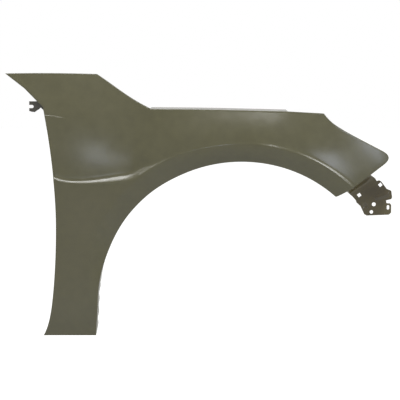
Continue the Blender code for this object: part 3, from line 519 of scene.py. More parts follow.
def lean(x, z):
    """Lean of the skin above the shoulder, stronger along the hood, and steeper on the wing."""
    amount = LEAN_REAR + (LEAN_FRONT - LEAN_REAR) * ease((x - LEAN_FADE_START) / LEAN_FADE_LENGTH)
    height = max(z - LEAN_START, 0.0) / (HOOD_REAR.y - LEAN_START)
    fade = 1.0 - ease((x - WING_FADE_START) / WING_FADE_LENGTH)
    over = z - UPPER_CREASE_HEIGHT
    return amount * height ** LEAN_CURVE + WING_SLOPE * fade * (over + hypot(over, CREASE_BLEND)) / 2.0


def skin_depth(point):
    """Depth of the outer face behind the widest plane of the flare."""
    x, z = point
    angle = min(degrees(atan2(z, x)) % 360.0, 180.0)
    width = face_width(angle)
    ring = hypot(x, z) - ARCH_RADIUS - width
    ridge = FLARE_SWEEP_SHARE * nose_sweep(x)
    soft = between(angle, SOFT_FRONT_ANGLES) * (1.0 - between(angle, SOFT_REAR_ANGLES))
    tuck = SILL_TUCK * (max(SILL_TUCK_START - z, 0.0) / (SILL_TUCK_START + SILL_DROP)) ** 2
    if ring < 0.0:
        fade = 1.0 - between(angle, LEG_FADE_ANGLES)
        return ridge + tuck + FACE_DEPTH * fade * (-ring / width) ** (FACE_CURVE + SOFT_FACE_CURVE * soft)
    body = nose_sweep(x) + lean(x, z)
    above = ring
    if x < 0.0:
        # the lesser height over ridge and shoulder line, with a rounded corner where they meet
        line = z - shoulder_height(x) + SHOULDER_SHIFT * between(x, SHOULDER_GROWTH)
        corner = max(1.0 - abs(ring - line) / SHOULDER_CORNER, 0.0)
        above = min(ring, line) - SHOULDER_CORNER * corner * corner / 4.0
    shoulder = 1.0 - between(x, SHOULDER_DECLINE)
    broad = between(x, SHOULDER_GROWTH) * shoulder
    strength = 1.0 - SOFT_LEDGE_SHARE * soft
    front = 1.0 - between(angle, FRONT_LEDGE_ANGLES)
    depth = LEDGE_DEPTH * strength * (1.0 + SHOULDER_LEDGE_SHARE * broad - FRONT_LEDGE_LOSS_SHARE * front)
    steep = LEDGE_DEPTH / LEDGE_BLEND * strength * (1.0 - SHOULDER_SLOPE_LOSS_SHARE * shoulder)
    round_over = LEDGE_ROUND * (1.0 + SHOULDER_ROUND_SHARE * broad)
    above = hypot(max(above, 0.0), round_over) - round_over
    flat = SHOULDER_FLAT * (REAR_FLAT_SHARE * shoulder + (1.0 - REAR_FLAT_SHARE) * broad)
    rest = depth - steep * flat
    quick = min(rest, steep * LEDGE_FALL)
    over = max(above - flat, 0.0)
    ledge = steep * min(above, flat) + quick * (1.0 - exp(-over * steep / quick))
    ledge += (rest - quick) * (1.0 - exp(-over / LEDGE_TAIL))
    return body + (ridge - body) * max(0.0, 1.0 - ring / FLARE_BLEND) ** 2 + ledge + tuck


def crease_step(column, x):
    """Fine step along the foot of the wing, which fades out away from the door."""
    share = (column - CREASE_FIRST_COLUMN) / CREASE_COLUMN_COUNT
    return CREASE_STEP_DEPTH * ease(share) * (1.0 - between(x, CREASE_STEP_FADE))


def bracket_seat(x):
    """Depth of the plane in which the bumper edge's weld flange carries the bracket."""
    return skin_depth(TIP) + BRACKET_SEAT_DEPTH + BRACKET_SEAT_SLOPE * (x - TIP.x)


FORK_SEAT = skin_depth(DOOR_TOP) + FORK_SEAT_DEPTH


class EdgePoint:
    """One point of the outline, with the turned edge that starts there."""

    def __init__(self, kind, place, angle=0.0, leave=0.0, arrive=0.0):
        self.kind = kind
        self.place = place
        self.angle = angle
        self.leave = leave
        self.arrive = arrive
        self.corner = False
        self.fold = Vector((0.0, 0.0))
        self.vert = None

    def inset(self):
        """Where the skin ends and the fold of the turned edge begins."""
        return self.place - self.fold


def span_shares(kind, count, length):
    """Shares of the columns on a span; a short column beside the hood shelf makes its end crisp."""
    step = STEP_LENGTH / length
    if kind == "slope":
        return [index * (1.0 - step) / (count - 1) for index in range(1, count)] + [1.0]
    if kind == "front top":
        return [step + index * (1.0 - step) / (count - 1) for index in range(count)]
    return [(index + 1) / count for index in range(count)]


def outer_side():
    """Outer outline, one point for each column of the skin, from the sill round to the nose."""
    points = [EdgePoint("door", SILL_REAR, 180.0 + LEG_ANGLE, 180.0, 180.0)]
    points[0].corner = True
    following = [span[0] for span in SPANS[1:]] + ["bumper"]
    for (kind, curve, count, angles), next_kind in zip(SPANS, following):
        start = points[-1]
        length = (curve(1.0) - curve(0.0)).length
        for index, share in enumerate(span_shares(kind, count, length)):
            part = (index + 1) / count
            place = round_nose(curve(share)) if kind == "lamp" else curve(share)
            turns = Vector((start.angle, start.leave, start.arrive)).lerp(Vector(angles), part)
            points.append(EdgePoint(kind, place, *turns))
        points[-1].corner = kind in ("wing rear", "wing top", "front top", "lamp")
        if next_kind in ("ear", "hood"):
            points[-1].kind = next_kind
    return points


def row_shares(length):
    """Shares of the rows from the ridge to the outer outline: the ledge's own rows, then even ones."""
    ledge = [distance / length for distance in LEDGE_ROWS]
    rest = [(row + 1) / SKIN_ROWS for row in range(SKIN_ROWS)]
    return ledge + [ledge[-1] + (1.0 - ledge[-1]) * share for share in rest]


def row_side(kind, curve, length, angle):
    """Bumper or sill edge, one point for each row of the skin, from the arch to the outer outline."""
    face = face_width(angle)
    split = face / length
    shares = [split * row / FACE_ROW_COUNT for row in range(FACE_ROW_COUNT + 1)]
    shares += [split + (1.0 - split) * share for share in row_shares(length - face)]
    return [EdgePoint(kind, round_nose(curve(share))) for share in shares]


def outline():
    """The four sides of the skin and the loop that they form, with tighter folds at sharp corners."""
    outer = outer_side()
    arch = [EdgePoint("arch", arch_edge(point.angle), point.angle) for point in outer]
    bumper = row_side("bumper", bumper_edge, (NOSE - TIP).length, ARCH_TIP_ANGLE)
    sill_edge = bowed(SILL_FRONT, SILL_REAR, 0.0)
    sill = row_side("sill", sill_edge, (SILL_FRONT - SILL_REAR).length, 180.0 + LEG_ANGLE)
    arch[0].corner = arch[-1].corner = True
    outer[-1].place = bumper[-1].place
    bumper[0] = arch[-1]
    bumper[-1] = outer[-1]
    sill[0] = arch[0]
    sill[-1] = outer[0]
    loop = arch + bumper[1:-1] + outer[::-1] + sill[-2:0:-1]
    for index, point in enumerate(loop):
        before = loop[index - 1].place
        after = loop[(index + 1) % len(loop)].place
        point.fold = side_normal(before, point.place, after) * FOLD_RADIUS
    usual = FOLD_CORNER_SHARE * FOLD_RADIUS
    sharp = [point.place for point in loop if point.corner and point.fold.length > usual]
    for point in loop:
        gap = min((point.place - corner).length for corner in sharp)
        point.fold *= FOLD_LEAST_SHARE + (1.0 - FOLD_LEAST_SHARE) * ease(gap / FOLD_RELIEF_LENGTH)
    return arch, bumper, outer, sill, loop


def skin_line(arch_point, outer_point):
    """Places of one column of the skin, from the arch edge over the ridge to the outer outline."""
    start = arch_point.inset()
    end = outer_point.place
    ridge = ridge_point(outer_point.angle)
    length = (end - ridge).length
    leaving = ridge + polar(length / 3.0, outer_point.leave)
    arriving = end - polar(length / 3.0, outer_point.arrive)
    shares = row_shares(length)
    line = [bezier(share, ridge, leaving, arriving, end) for share in shares]
    line = [place - outer_point.fold * share ** FOLD_INSET_CURVE for place, share in zip(line, shares)]
    spread = SHOULDER_SPREAD_BELOW if outer_point.angle > SHOULDER_ANGLE else SHOULDER_SPREAD_ABOVE
    weight = ease(1.0 - abs(outer_point.angle - SHOULDER_ANGLE) / spread)
    for place in line:
        place.y -= shoulder_dip(place.x) * weight * ease((place - ridge).length / DIP_START_LENGTH)
    return [start.lerp(ridge, row / FACE_ROW_COUNT) for row in range(FACE_ROW_COUNT + 1)] + line


def skin_places(arch, bumper, outer, sill):
    """Places of the whole skin as columns of (x, z), fitted to the sill and the bumper edge."""
    columns = [skin_line(first, second) for first, second in zip(arch, outer)]
    for end, side in ((0, sill), (len(columns) - 1, bumper)):
        drift = [point.inset() - place for point, place in zip(side, columns[end])]
        for index, column in enumerate(columns):
            weight = ease(1.0 - abs(index - end) / SIDE_FADE_COLUMN_COUNT)
            for row, step in enumerate(drift):
                column[row] = column[row] + step * weight
    return columns


def face_outwards(bm, skin_faces):
    """Turn all faces of a sheet alike, so that its skin looks to the outside of the car."""
    bmesh.ops.recalc_face_normals(bm, faces=bm.faces)
    bm.normal_update()
    if sum(face.normal.y * face.calc_area() for face in skin_faces) > 0.0:
        bmesh.ops.reverse_faces(bm, faces=bm.faces)
    return bm


def extrude_edges(bm, edges, move):
    """Extrude open edges and move each new vertex as move says for its source."""
    made = bmesh.ops.extrude_edge_only(bm, edges=edges)["geom"]
    fresh = {item for item in made if isinstance(item, bmesh.types.BMVert)}
    rim = [item for item in made if isinstance(item, bmesh.types.BMEdge) and set(item.verts) <= fresh]
    made_from = {}
    for vert in fresh:
        for edge in vert.link_edges:
            source = edge.other_vert(vert)
            if source not in fresh:
                made_from[source] = vert
                vert.co = move(source)
    return rim, made_from


def hem_depth(point):
    """Full depth of the turned edge at a point of the outline."""
    base = point.vert.co.y
    if point.kind == "bumper":
        return bracket_seat(point.place.x) - base
    if point.kind == "ear":
        return FORK_SEAT - base
    if point.kind == "arch" and point.angle > LEG_TAB_START_ANGLE:
        wave = 0.5 + 0.5 * cos(2.0 * pi * point.place.y / LEG_TAB_PITCH)
        return ARCH_LIP - LEG_TAB_DEPTH * wave
    return HEM_DEPTHS[point.kind]


def turn_edges(bm, loop, edges):
    """Turn the outline inwards: a rounded fold, then a hem that is relieved at the corners."""
    lengths = [(point.place - loop[index - 1].place).length for index, point in enumerate(loop)]
    stations = [sum(lengths[:index + 1]) for index in range(len(loop))]
    around = stations[-1]
    corners = [station for point, station in zip(loop, stations) if point.corner]
    owners = {}
    for point, station in zip(loop, stations):
        gap = min(min(abs(station - other), around - abs(station - other)) for other in corners)
        full = hem_depth(point)
        if point.kind != "hood":
            full = RELIEF_DEPTH + (full - RELIEF_DEPTH) * ease(gap / RELIEF_LENGTH)
        drafted = point.kind == "arch" and not point.corner
        draft = LEG_LIP_DRAFT * between(point.angle, LEG_DRAFT_ANGLES) if drafted else 0.0
        rise = SHELF_RISE if point.kind == "hood" else 0.0
        outward = point.fold * (draft * full / FOLD_RADIUS)
        owners[point.vert] = (point, full, outward, rise)

    def fold_step(number):
        before, after = [pi / 2.0 * step / FOLD_STEPS for step in (number - 1, number)]

        def move(vert):
            step = owners[vert][0].fold * (sin(after) - sin(before))
            return vert.co + Vector((step.x, FOLD_RADIUS * (cos(before) - cos(after)), step.y))

        return move

    def hem_end(vert):
        _, full, outward, rise = owners[vert]
        return vert.co + Vector((outward.x, full - FOLD_RADIUS, outward.y + rise))

    for move in [fold_step(number + 1) for number in range(FOLD_STEPS)] + [hem_end]:
        edges, made = extrude_edges(bm, edges, move)
        owners = {fresh: owners[source] for source, fresh in made.items()}
    return edges, {vert: owner[0] for vert, owner in owners.items()}


def shift(*step):
    """A move that carries every vertex by the same step."""
    return lambda vert: vert.co + Vector(step)


def build_rail_flange(bm, edges):
    """Wall below the hood shelf and the flat bolt flange that lies on the rail."""
    wide = FOLD_RADIUS * sin(pi / 4.0)
    narrow = FOLD_RADIUS - wide
    wall_end = BOLT_HEIGHT + FOLD_RADIUS
    moves = (
        shift(0.0, wide, -narrow),
        shift(0.0, narrow, -wide),
        lambda vert: Vector((vert.co.x, vert.co.y, wall_end)),
        shift(0.0, narrow, -wide),
        lambda vert: Vector((vert.co.x, vert.co.y + wide, BOLT_HEIGHT)),
        shift(0.0, BOLT_FLANGE, 0.0),
    )
    for move in moves:
        edges, _ = extrude_edges(bm, edges, move)


def rail_centre(share):
    """Middle of the bolt flange at a share of the hood's length."""
    place = bowed(HOOD_REAR, HOOD_FRONT, HOOD_CROWN)(share)
    edge = place - Vector((0.0, FOLD_RADIUS))
    depth = skin_depth(edge) + SHELF_DEPTH + 2.0 * FOLD_RADIUS + BOLT_FLANGE / 2.0
    return Vector((place.x, depth, BOLT_HEIGHT))


def panel_mesh():
    """The pressed sheet without its thickness: skin, turned edges and flanges."""
    arch, bumper, outer, sill, loop = outline()
    places = skin_places(arch, bumper, outer, sill)
    columns = len(places) - 1
    rows = len(places[0]) - 1
    bm = bmesh.new()
    bmesh.ops.create_grid(bm, x_segments=columns, y_segments=rows, size=0.5)
    grid = {}
    for vert in bm.verts:
        column = round((vert.co.x + 0.5) * columns)
        row = round((vert.co.y + 0.5) * rows)
        grid[column, row] = vert
        place = places[column][row]
        vert.co = (place.x, skin_depth(place) + crease_step(column, place.x), place.y)
    for index, (first, second) in enumerate(zip(arch, outer)):
        first.vert = grid[index, 0]
        second.vert = grid[index, rows]
    for index in range(1, rows):
        bumper[index].vert = grid[columns, index]
        sill[index].vert = grid[0, index]
    skin_faces = list(bm.faces)
    edges, owners = turn_edges(bm, loop, [edge for edge in bm.edges if edge.is_boundary])

    def chosen(test):
        return [edge for edge in edges if all(test(owners[vert]) for vert in edge.verts)]

    nose_margin = NOSE - (NOSE - TIP).normalized() * WELD_END_MARGIN
    tip_margin = TIP.x + WELD_END_MARGIN
    build_rail_flange(bm, chosen(lambda point: point.kind == "hood"))
    weld = chosen(lambda point: point.kind == "bumper" and tip_margin < point.place.x < nose_margin.x)
    ear = chosen(lambda point: point.kind == "ear")

    def weld_flange(vert):
        inward = owners[vert].fold.normalized() * -WELD_FLANGE
        place = vert.co + Vector((inward.x, 0.0, inward.y))
        place.y = bracket_seat(place.x)
        return place

    extrude_edges(bm, weld, weld_flange)
    extrude_edges(bm, ear, shift(FORK_EAR_WIDTH, 0.0, 0.0))
    return face_outwards(bm, skin_faces)


# Prisms and cutters


def circle_points(diameter, sides=HOLE_SIDE_COUNT, turn=0.0):
    """Corners of a round hole, or of a square one with this side when it has four."""
    radius = diameter / 2.0 / cos(pi / sides) if sides == 4 else diameter / 2.0
    return [polar(radius, 360.0 * side / sides + turn) for side in range(sides)]


def slot_points(width, length, upright=False):
    """Outline of a slot with round ends."""
    reach = (length - width) / 2.0
    points = []
    for centre, start in ((reach, -90.0), (-reach, 90.0)):
        for side in range(SLOT_END_SIDE_COUNT + 1):
            point = polar(width / 2.0, start + 180.0 * side / SLOT_END_SIDE_COUNT)
            points.append(Vector((point.x + centre, point.y)))
    return [Vector((-point.y, point.x)) for point in points] if upright else points


def add_prism(bm, points, centre, across, up, length):
    """Prism with an outline drawn along across and up, centred on a point."""
    axis = across.cross(up).normalized()
    start = centre - axis * (length / 2.0)
    verts = [bm.verts.new(start + across * point.x + up * point.y) for point in points]
    face = bm.faces.new(verts)
    made = bmesh.ops.extrude_face_region(bm, geom=[face])["geom"]
    moved = [item for item in made if isinstance(item, bmesh.types.BMVert)]
    bmesh.ops.translate(bm, verts=moved, vec=axis * length)


def panel_holes():
    """Bolt holes of the rail flange, slots of the sill flange and liner holes of the arch lip."""
    bm = bmesh.new()
    length = SHEET + 2.0 * CUT_OVERRUN
    for index in range(BOLT_HOLE_COUNT):
        centre = rail_centre((index + 0.5) / BOLT_HOLE_COUNT)
        add_prism(bm, circle_points(BOLT_HOLE), centre, FORWARD, INWARD, length)
    for x in (SILL_FRONT.x - SILL_SLOT_MARGIN, SILL_REAR.x + SILL_SLOT_MARGIN):
        place = Vector((x, -SILL_DROP))
        centre = Vector((x, skin_depth(place) + HOLE_DEPTH_SHARE * SILL_FLANGE, -SILL_DROP))
        add_prism(bm, slot_points(SILL_SLOT_WIDTH, SILL_SLOT_LENGTH), centre, FORWARD, INWARD, length)
    for index in range(LIP_HOLE_COUNT):
        share = index / (LIP_HOLE_COUNT - 1)
        angle = LIP_HOLE_FIRST_ANGLE + (LIP_HOLE_LAST_ANGLE - LIP_HOLE_FIRST_ANGLE) * share
        place = arch_edge(angle)
        centre = Vector((place.x, skin_depth(place) + HOLE_DEPTH_SHARE * ARCH_LIP, place.y))
        along = Vector((-place.y, 0.0, place.x)).normalized()
        add_prism(bm, circle_points(LIP_HOLE), centre, INWARD, along, length)
    return bm


# Front bracket

BRACKET_CORNER = TIP + Vector((BRACKET_FORWARD, -BRACKET_DROP))


def bracket_place(shares):
    """Point of the bracket at shares of its width and height."""
    return BRACKET_CORNER + Vector((shares[0] * BRACKET_WIDTH, shares[1] * BRACKET_HEIGHT))


def bracket_depth(place):
    """Outer face of the bracket: flat on its weld seat, then a ramp to the flat plate, with one bead."""
    along = (NOSE - TIP).normalized()
    below = (place - TIP).dot(Vector((along.y, -along.x)))
    middle = BRACKET_CORNER.x + BRACKET_WIDTH / 2.0
    plate = bracket_seat(middle) + BRACKET_SET_IN + BRACKET_FACE_SLOPE * (place.x - middle)
    seat = bracket_seat(place.x) + SEAM_GAP * hypot(1.0, BRACKET_SEAT_SLOPE)
    depth = seat + (plate - seat) * ease((below - BRACKET_RAMP_START) / BRACKET_RAMP_LENGTH)
    start, end = [bracket_place(shares) for shares in BRACKET_BEAD_SHARES]
    run = (end - start).length
    part = max(0.0, min(1.0, (place - start).dot(end - start) / run ** 2))
    miss = (place - start.lerp(end, part)).length / BRACKET_BEAD_WIDTH
    dent = (place - bracket_place(BRACKET_DENT_SHARES)).length / BRACKET_BEAD_WIDTH
    return depth + BRACKET_BEAD_HEIGHT * (ease(1.0 - dent) - ease(1.0 - miss))


def bracket_mesh():
    """Formed sheet that covers the bracket's outline, one cell wider all round."""
    columns = round(BRACKET_WIDTH / BRACKET_CELL) + 2
    rows = round(BRACKET_HEIGHT / BRACKET_CELL) + 2
    bm = bmesh.new()
    bmesh.ops.create_grid(bm, x_segments=columns, y_segments=rows, size=0.5)
    size = Vector((BRACKET_WIDTH, BRACKET_HEIGHT)) + Vector((BRACKET_CELL, BRACKET_CELL)) * 2.0
    middle = bracket_place((0.5, 0.5))
    for vert in bm.verts:
        place = middle + Vector((vert.co.x * size.x, vert.co.y * size.y))
        vert.co = (place.x, bracket_depth(place), place.y)
    return face_outwards(bm, bm.faces)


def bracket_blank():
    """Prism with the bracket's outline, which trims the formed sheet."""
    bm = bmesh.new()
    points = [bracket_place(shares) - BRACKET_CORNER for shares in BRACKET_OUTLINE_SHARES]
    centre = Vector((BRACKET_CORNER.x, bracket_depth(bracket_place((0.5, 0.5))), BRACKET_CORNER.y))
    add_prism(bm, points, centre, FORWARD, UP, BRACKET_WIDTH)
    return bm


def bracket_holes():
    """Two square holes, two round holes and one slot."""
    holes = [(shares, circle_points(BRACKET_SQUARE_HOLE, 4, turn)) for shares, turn in BRACKET_SQUARES]
    holes += [
        (BRACKET_ROUND_SHARES, circle_points(BRACKET_ROUND_HOLE)),
        (BRACKET_SMALL_SHARES, circle_points(BRACKET_SMALL_HOLE)),
        (BRACKET_SLOT_SHARES, slot_points(BRACKET_SLOT_WIDTH, BRACKET_SLOT_LENGTH, True)),
    ]
    bm = bmesh.new()
    for shares, points in holes:
        place = bracket_place(shares)
        centre = Vector((place.x, bracket_depth(place), place.y))
        add_prism(bm, points, centre, FORWARD, UP, 2.0 * (BRACKET_SHEET + CUT_OVERRUN))
    return bm


# Pillar fork

FORK_CORNER = DOOR_TOP + Vector((-FORK_REACH, FORK_TOP_RISE - FORK_HEIGHT))


def fork_mesh():
    """Flat plate with the fork's outline; its thickness lies behind the weld seat."""
    bm = bmesh.new()
    depth = FORK_SEAT + SEAM_GAP
    verts = []
    for x_share, z_share in FORK_OUTLINE_SHARES:
        place = FORK_CORNER + Vector((x_share * FORK_WIDTH, z_share * FORK_HEIGHT))
        verts.append(bm.verts.new((place.x, depth, place.y)))
    bm.faces.new(verts)
    return face_outwards(bm, bm.faces)


def fork_slot():
    """Slot with one round end, open to the rear."""
    bm = bmesh.new()
    centre = Vector((FORK_CORNER.x, FORK_SEAT, FORK_CORNER.y + FORK_SLOT_SHARE * FORK_HEIGHT))
    points = slot_points(FORK_SLOT_WIDTH, 2.0 * FORK_SLOT_LENGTH)
    add_prism(bm, points, centre, FORWARD, UP, 2.0 * (FORK_SHEET + CUT_OVERRUN))
    return bm


# Putting meshes together


def linear(code):
    """An sRGB hex colour as linear red, green, blue and alpha."""
    channels = [int(code[start:start + 2], 16) / 255.0 for start in (0, 2, 4)]
    turned = [c / 12.92 if c <= 0.04045 else ((c + 0.055) / 1.055) ** 2.4 for c in channels]
    return (*turned, 1.0)


def add_node(tree, kind, settings=None, links=None):
    """Add a node with its settings and input values, and link sockets of other nodes to its inputs."""
    node = tree.nodes.new(kind)
    for name, value in (settings or {}).items():
        if name in node.inputs:
            node.inputs[name].default_value = value
        else:
            setattr(node, name, value)
    for name, socket in (links or {}).items():
        tree.links.new(socket, node.inputs[name])
    return node


def electrocoat(settings, part):
    """Cathodic electrocoat primer on deep-drawn sheet steel, dipped and baked.

    The eye sees a thin satin film in olive grey: broad, faint drifts of tone where the bath ran off,
    a slight orange peel and a sheen that changes a little from place to place.
    """
    material = bpy.data.materials.new(f"{part} electrocoat")
    material.use_nodes = True
    tree = material.node_tree
    shader = tree.nodes["Principled BSDF"]
    shader.inputs["IOR"].default_value = PRIMER_IOR
    place = add_node(tree, "ShaderNodeTexCoord").outputs["Object"]
    start = {"Location": [PATTERN_STARTS[part]] * 3}
    where = {"Vector": add_node(tree, "ShaderNodeMapping", start, {"Vector": place}).outputs[0]}
    # run-off drifts, about 125 mm across
    drift = add_node(tree, "ShaderNodeTexNoise", {"Scale": 1.0 / DRIFT_SIZE, "Detail": 2.0}, where)
    # film thickness, which changes over about 25 mm
    film = add_node(tree, "ShaderNodeTexNoise", {"Scale": 1.0 / FILM_SIZE, "Detail": 3.0}, where)
    ramp = add_node(tree, "ShaderNodeValToRGB", links={"Fac": drift.outputs["Fac"]})
    # for the fork these tones are darkened below the panel's, which paints shade into its colour
    tones = getattr(settings, f"{part}_tones").split()
    for element, position, tone in zip(ramp.color_ramp.elements, DRIFT_CONTRAST, tones):
        element.position = position
        element.color = linear(tone)
    # of a mix node, inputs 6 and 7 and output 2 are the colours
    tint = add_node(
        tree, "ShaderNodeMix", {"data_type": "RGBA", "blend_type": "MULTIPLY"},
        {6: ramp.outputs["Color"], 7: film.outputs["Fac"]},
    )
    tint.inputs[0].default_value = FILM_TINT
    tree.links.new(tint.outputs[2], shader.inputs["Base Color"])
    low, high = [settings.roughness + change for change in SHEEN_SPAN]
    span = {"From Min": FILM_SPAN[0], "From Max": FILM_SPAN[1], "To Min": low, "To Max": high}
    sheen = add_node(tree, "ShaderNodeMapRange", span, {"Value": film.outputs["Fac"]})
    tree.links.new(sheen.outputs["Result"], shader.inputs["Roughness"])
    # orange peel is 1 to 2 mm across; drawn at 5 mm so that it shows as a faint waviness
    peel = add_node(tree, "ShaderNodeTexNoise", {"Scale": 1.0 / PEEL_SIZE, "Detail": 1.0}, {"Vector": place})
    relief = {"Strength": PEEL_STRENGTH, "Distance": PEEL_HEIGHT}
    bump = add_node(tree, "ShaderNodeBump", relief, {"Height": peel.outputs["Fac"]})
    tree.links.new(bump.outputs["Normal"], shader.inputs["Normal"])
    return material


def new_piece(name, bm):
    """Object made from a bmesh."""
    mesh = bpy.data.meshes.new(name)
    bm.to_mesh(mesh)
    bm.free()
    piece = bpy.data.objects.new(name, mesh)
    bpy.context.scene.collection.objects.link(piece)
    return piece


def frame_origin():
    """Middle of the underside of the bolt flange, in the drawing's own axes."""
    return rail_centre(0.5) - UP * SHEET


def finish_piece(settings, part, piece, cutters, node):
    """Give a sheet its thickness, pierce it, move it to the frame and let it stand for its CAD node."""
    wall = piece.modifiers.new("sheet thickness", "SOLIDIFY")
    wall.thickness = getattr(settings, f"{part}_sheet")
    wall.offset = -1.0
    tools = []
    for operation, bm in cutters:
        bmesh.ops.recalc_face_normals(bm, faces=bm.faces)
        tools.append(new_piece(f"{part} cutter", bm))
        cut = piece.modifiers.new("cut", "BOOLEAN")
        cut.operation = operation
        cut.solver = "EXACT"
        cut.object = tools[-1]
    depsgraph = bpy.context.evaluated_depsgraph_get()
    finished = bpy.data.meshes.new_from_object(piece.evaluated_get(depsgraph))
    piece.modifiers.clear()
    piece.data = finished
    for tool in tools:
        bpy.data.objects.remove(tool)
    finished.transform(Matrix.Translation(-frame_origin()))
    finished.shade_smooth()
    finished.set_sharp_from_angle(angle=radians(SHARP_ANGLE))
    finished.materials.clear()
    finished.materials.append(electrocoat(settings, part))
    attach(piece, "root")
    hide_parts(node)


def size_setting(name, description, default):
    """A length that can be changed in the sidebar."""
    return FloatProperty(name=name, description=description, default=default, unit="LENGTH")


def tone_setting(name, default):
    """Two primer tones that can be changed in the sidebar."""
    return StringProperty(name=name, description="Darker and lighter primer tone in hex", default=default)


class FenderSettings(bpy.types.PropertyGroup):
    """Sizes and colours of the fender's three pieces."""

    panel_sheet: size_setting("Panel sheet", "Thickness of the panel's steel", SHEET)
    bracket_sheet: size_setting("Bracket sheet", "Thickness of the bracket", BRACKET_SHEET)
    fork_sheet: size_setting("Fork sheet", "Thickness of the pillar fork", FORK_SHEET)
    panel_tones: tone_setting("Panel tones", "545135 57543A")
    bracket_tones: tone_setting("Bracket tones", "443A20 665D3C")
    # the fork's tones are much darker than the panel's primer: painted shade for the tab that sits in shadow
    # behind the skin's edge
    fork_tones: tone_setting("Fork tones", "34322B 45423A")
    roughness: FloatProperty(
        name="Primer roughness", description="How broad the reflections are", default=0.19, min=0.05, max=1.0)


class StudioSettings(bpy.types.PropertyGroup):
    """Camera, lamps and floor."""

    distance: size_setting("Camera distance", "From the camera to the fender", 5.0)
    elevation: FloatProperty(
        name="Camera elevation", description="Angle above the horizontal, in degrees", default=5.0)
    width: size_setting("Width in view", "Width that the camera sees there", 1.0)
    floor_drop: size_setting("Floor below fender", "Height over the floor", 0.21)
    lamp_level: FloatProperty(
        name="Lamp level", description="Factor on the power of every softbox", default=1.0)
    world_strength: FloatProperty(
        name="Room light", description="Strength of the even light of the studio", default=0.5)


class FENDER_OT_panel(bpy.types.Operator):
    """Model the pressed fender panel with its turned edges and flanges."""

    bl_idname = "fender.panel"
    bl_label = "Fender Panel"

    def execute(self, context):
        piece = new_piece("fender_skin", panel_mesh())
        cutters = [("DIFFERENCE", panel_holes())]
        finish_piece(context.scene.fender, "panel", piece, cutters, "fender_panel")
        return {"FINISHED"}


class FENDER_OT_bracket(bpy.types.Operator):
    """Model the stamped bracket below the headlamp corner."""

    bl_idname = "fender.bracket"
    bl_label = "Front Bracket"

    def execute(self, context):
        piece = new_piece("bumper_bracket", bracket_mesh())
        cutters = [("INTERSECT", bracket_blank()), ("DIFFERENCE", bracket_holes())]
        finish_piece(context.scene.fender, "bracket", piece, cutters, "front_bracket")
        return {"FINISHED"}


class FENDER_OT_fork(bpy.types.Operator):
    """Model the forked tab at the upper rear corner."""

    bl_idname = "fender.fork"
    bl_label = "Pillar Fork"

    def execute(self, context):
        piece = new_piece("forked_tab", fork_mesh())
        cutters = [("DIFFERENCE", fork_slot())]
        finish_piece(context.scene.fender, "fork", piece, cutters, "pillar_fork")
        return {"FINISHED"}


def add_camera(settings, aim):
    """Camera with a long lens, square to the side of the fender and a little above its middle."""
    tilt = radians(settings.elevation)
    lens = bpy.data.cameras.new("studio camera")
    lens.sensor_width = FILM_WIDTH
    lens.lens = FILM_WIDTH * settings.distance / settings.width
    lens.clip_end = VIEW_DEPTH
    camera = bpy.data.objects.new("studio camera", lens)
    bpy.context.scene.collection.objects.link(camera)
    camera.location = aim + Vector((0.0, -cos(tilt), sin(tilt))) * settings.distance
    camera.rotation_euler = (pi / 2.0 - tilt, 0.0, 0.0)
    bpy.context.scene.camera = camera


def seen_ray(tree):
    """Socket that is 1 for rays on which the eye sees the studio, directly or in a reflection."""
    path = add_node(tree, "ShaderNodeLightPath")
    found = path.outputs["Is Camera Ray"]
    for name in ("Is Glossy Ray", "Is Transmission Ray"):
        either = {0: found, 1: path.outputs[name]}
        found = add_node(tree, "ShaderNodeMath", {"operation": "MAXIMUM"}, either).outputs[0]
    return found


def show_when_seen(tree, usual, seen, output):
    """Give an output one shader for the rays that the eye sees, and another for the rest."""
    shaders = {0: seen_ray(tree), 1: usual.outputs[0], 2: seen.outputs[0]}
    mix = add_node(tree, "ShaderNodeMixShader", links=shaders)
    tree.links.new(mix.outputs[0], tree.nodes[output].inputs["Surface"])


def floor_paint():
    """Matt white emulsion on a studio floor: white to the eye except where the fender's shadow lies."""
    material = bpy.data.materials.new("matt white emulsion")
    material.use_nodes = True
    tree = material.node_tree
    shader = tree.nodes["Principled BSDF"]
    shader.inputs["Base Color"].default_value = linear("C4C4C2")
    shader.inputs["Roughness"].default_value = FLOOR_ROUGHNESS
    glow = add_node(tree, "ShaderNodeEmission", {"Color": WHITE, "Strength": FLOOR_GLOW})
    lit = add_node(tree, "ShaderNodeAddShader", links={0: shader.outputs[0], 1: glow.outputs[0]})
    show_when_seen(tree, shader, lit, "Material Output")
    return material


def add_floor(height):
    """Round floor far wider than the view."""
    bm = bmesh.new()
    bmesh.ops.create_circle(bm, cap_ends=True, segments=FLOOR_SIDE_COUNT, radius=FLOOR_RADIUS)
    floor = new_piece("studio_floor", bm)
    floor.location = (0.0, 0.0, height)
    floor.data.materials.append(floor_paint())


def light_room(strength):
    """Even light of a pale room, which the eye sees as white."""
    world = bpy.data.worlds.new("studio room")
    bpy.context.scene.world = world
    world.use_nodes = True
    tree = world.node_tree
    room = tree.nodes["Background"]
    room.inputs["Color"].default_value = linear("E9EAE6")
    room.inputs["Strength"].default_value = strength
    seen = add_node(tree, "ShaderNodeBackground", {"Color": WHITE, "Strength": 1.0})
    show_when_seen(tree, room, seen, "World Output")


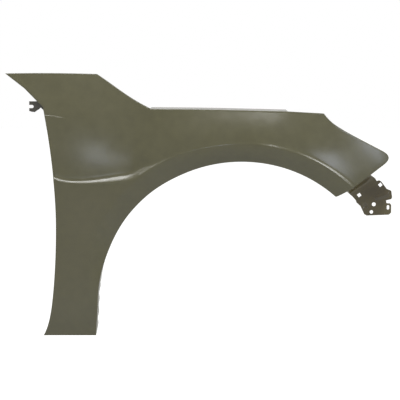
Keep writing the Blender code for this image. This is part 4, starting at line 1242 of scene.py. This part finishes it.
def add_softbox(name, aim, offset, size, power, colour):
    """Rectangular area lamp that looks at the fender and is not seen itself."""
    lamp = bpy.data.lights.new(name, "AREA")
    lamp.shape = "RECTANGLE"
    lamp.size, lamp.size_y = size
    lamp.energy = power
    lamp.color = linear(colour)[:3]
    box = bpy.data.objects.new(name, lamp)
    bpy.context.scene.collection.objects.link(box)
    box.location = aim + Vector(offset)
    box.rotation_euler = (-Vector(offset)).to_track_quat("-Z", "Y").to_euler()
    box.visible_camera = False


class FENDER_OT_studio(bpy.types.Operator):
    """Set up the floor, the room, the softboxes and the camera."""

    bl_idname = "fender.studio"
    bl_label = "Studio"

    def execute(self, context):
        settings = context.scene.studio
        aim = VIEW_AIM - frame_origin()
        add_camera(settings, aim)
        add_floor(CAD_BOX[0][2] - settings.floor_drop)
        light_room(settings.world_strength)
        for name, offset, size, power, colour in SOFTBOXES:
            add_softbox(f"{name} softbox", aim, offset, size, power * settings.lamp_level, colour)
        context.scene.view_settings.view_transform = "Standard"
        return {"FINISHED"}


class FENDER_PT_panel(bpy.types.Panel):
    """Lists the fender's pieces and their settings."""

    bl_idname = "FENDER_PT_panel"
    bl_label = "Front Fender"
    bl_space_type = "VIEW_3D"
    bl_region_type = "UI"
    bl_category = "Fender"

    def draw(self, context):
        layout = self.layout
        for group in (context.scene.fender, context.scene.studio):
            for name in group.__annotations__:
                layout.prop(group, name)
        for operator in OPERATORS:
            layout.operator(operator.bl_idname)


OPERATORS = (FENDER_OT_panel, FENDER_OT_bracket, FENDER_OT_fork, FENDER_OT_studio)
CLASSES = (FenderSettings, StudioSettings) + OPERATORS + (FENDER_PT_panel,)


def register():
    """Add the tools and their settings to Blender."""
    for item in CLASSES:
        bpy.utils.register_class(item)
    bpy.types.Scene.fender = PointerProperty(type=FenderSettings)
    bpy.types.Scene.studio = PointerProperty(type=StudioSettings)


def unregister():
    """Take them out again."""
    del bpy.types.Scene.studio
    del bpy.types.Scene.fender
    for item in reversed(CLASSES):
        bpy.utils.unregister_class(item)


def main():
    """Register the tools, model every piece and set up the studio."""
    register()
    bpy.ops.fender.panel()
    bpy.ops.fender.bracket()
    bpy.ops.fender.fork()
    bpy.ops.fender.studio()


if __name__ == "__main__":
    main()
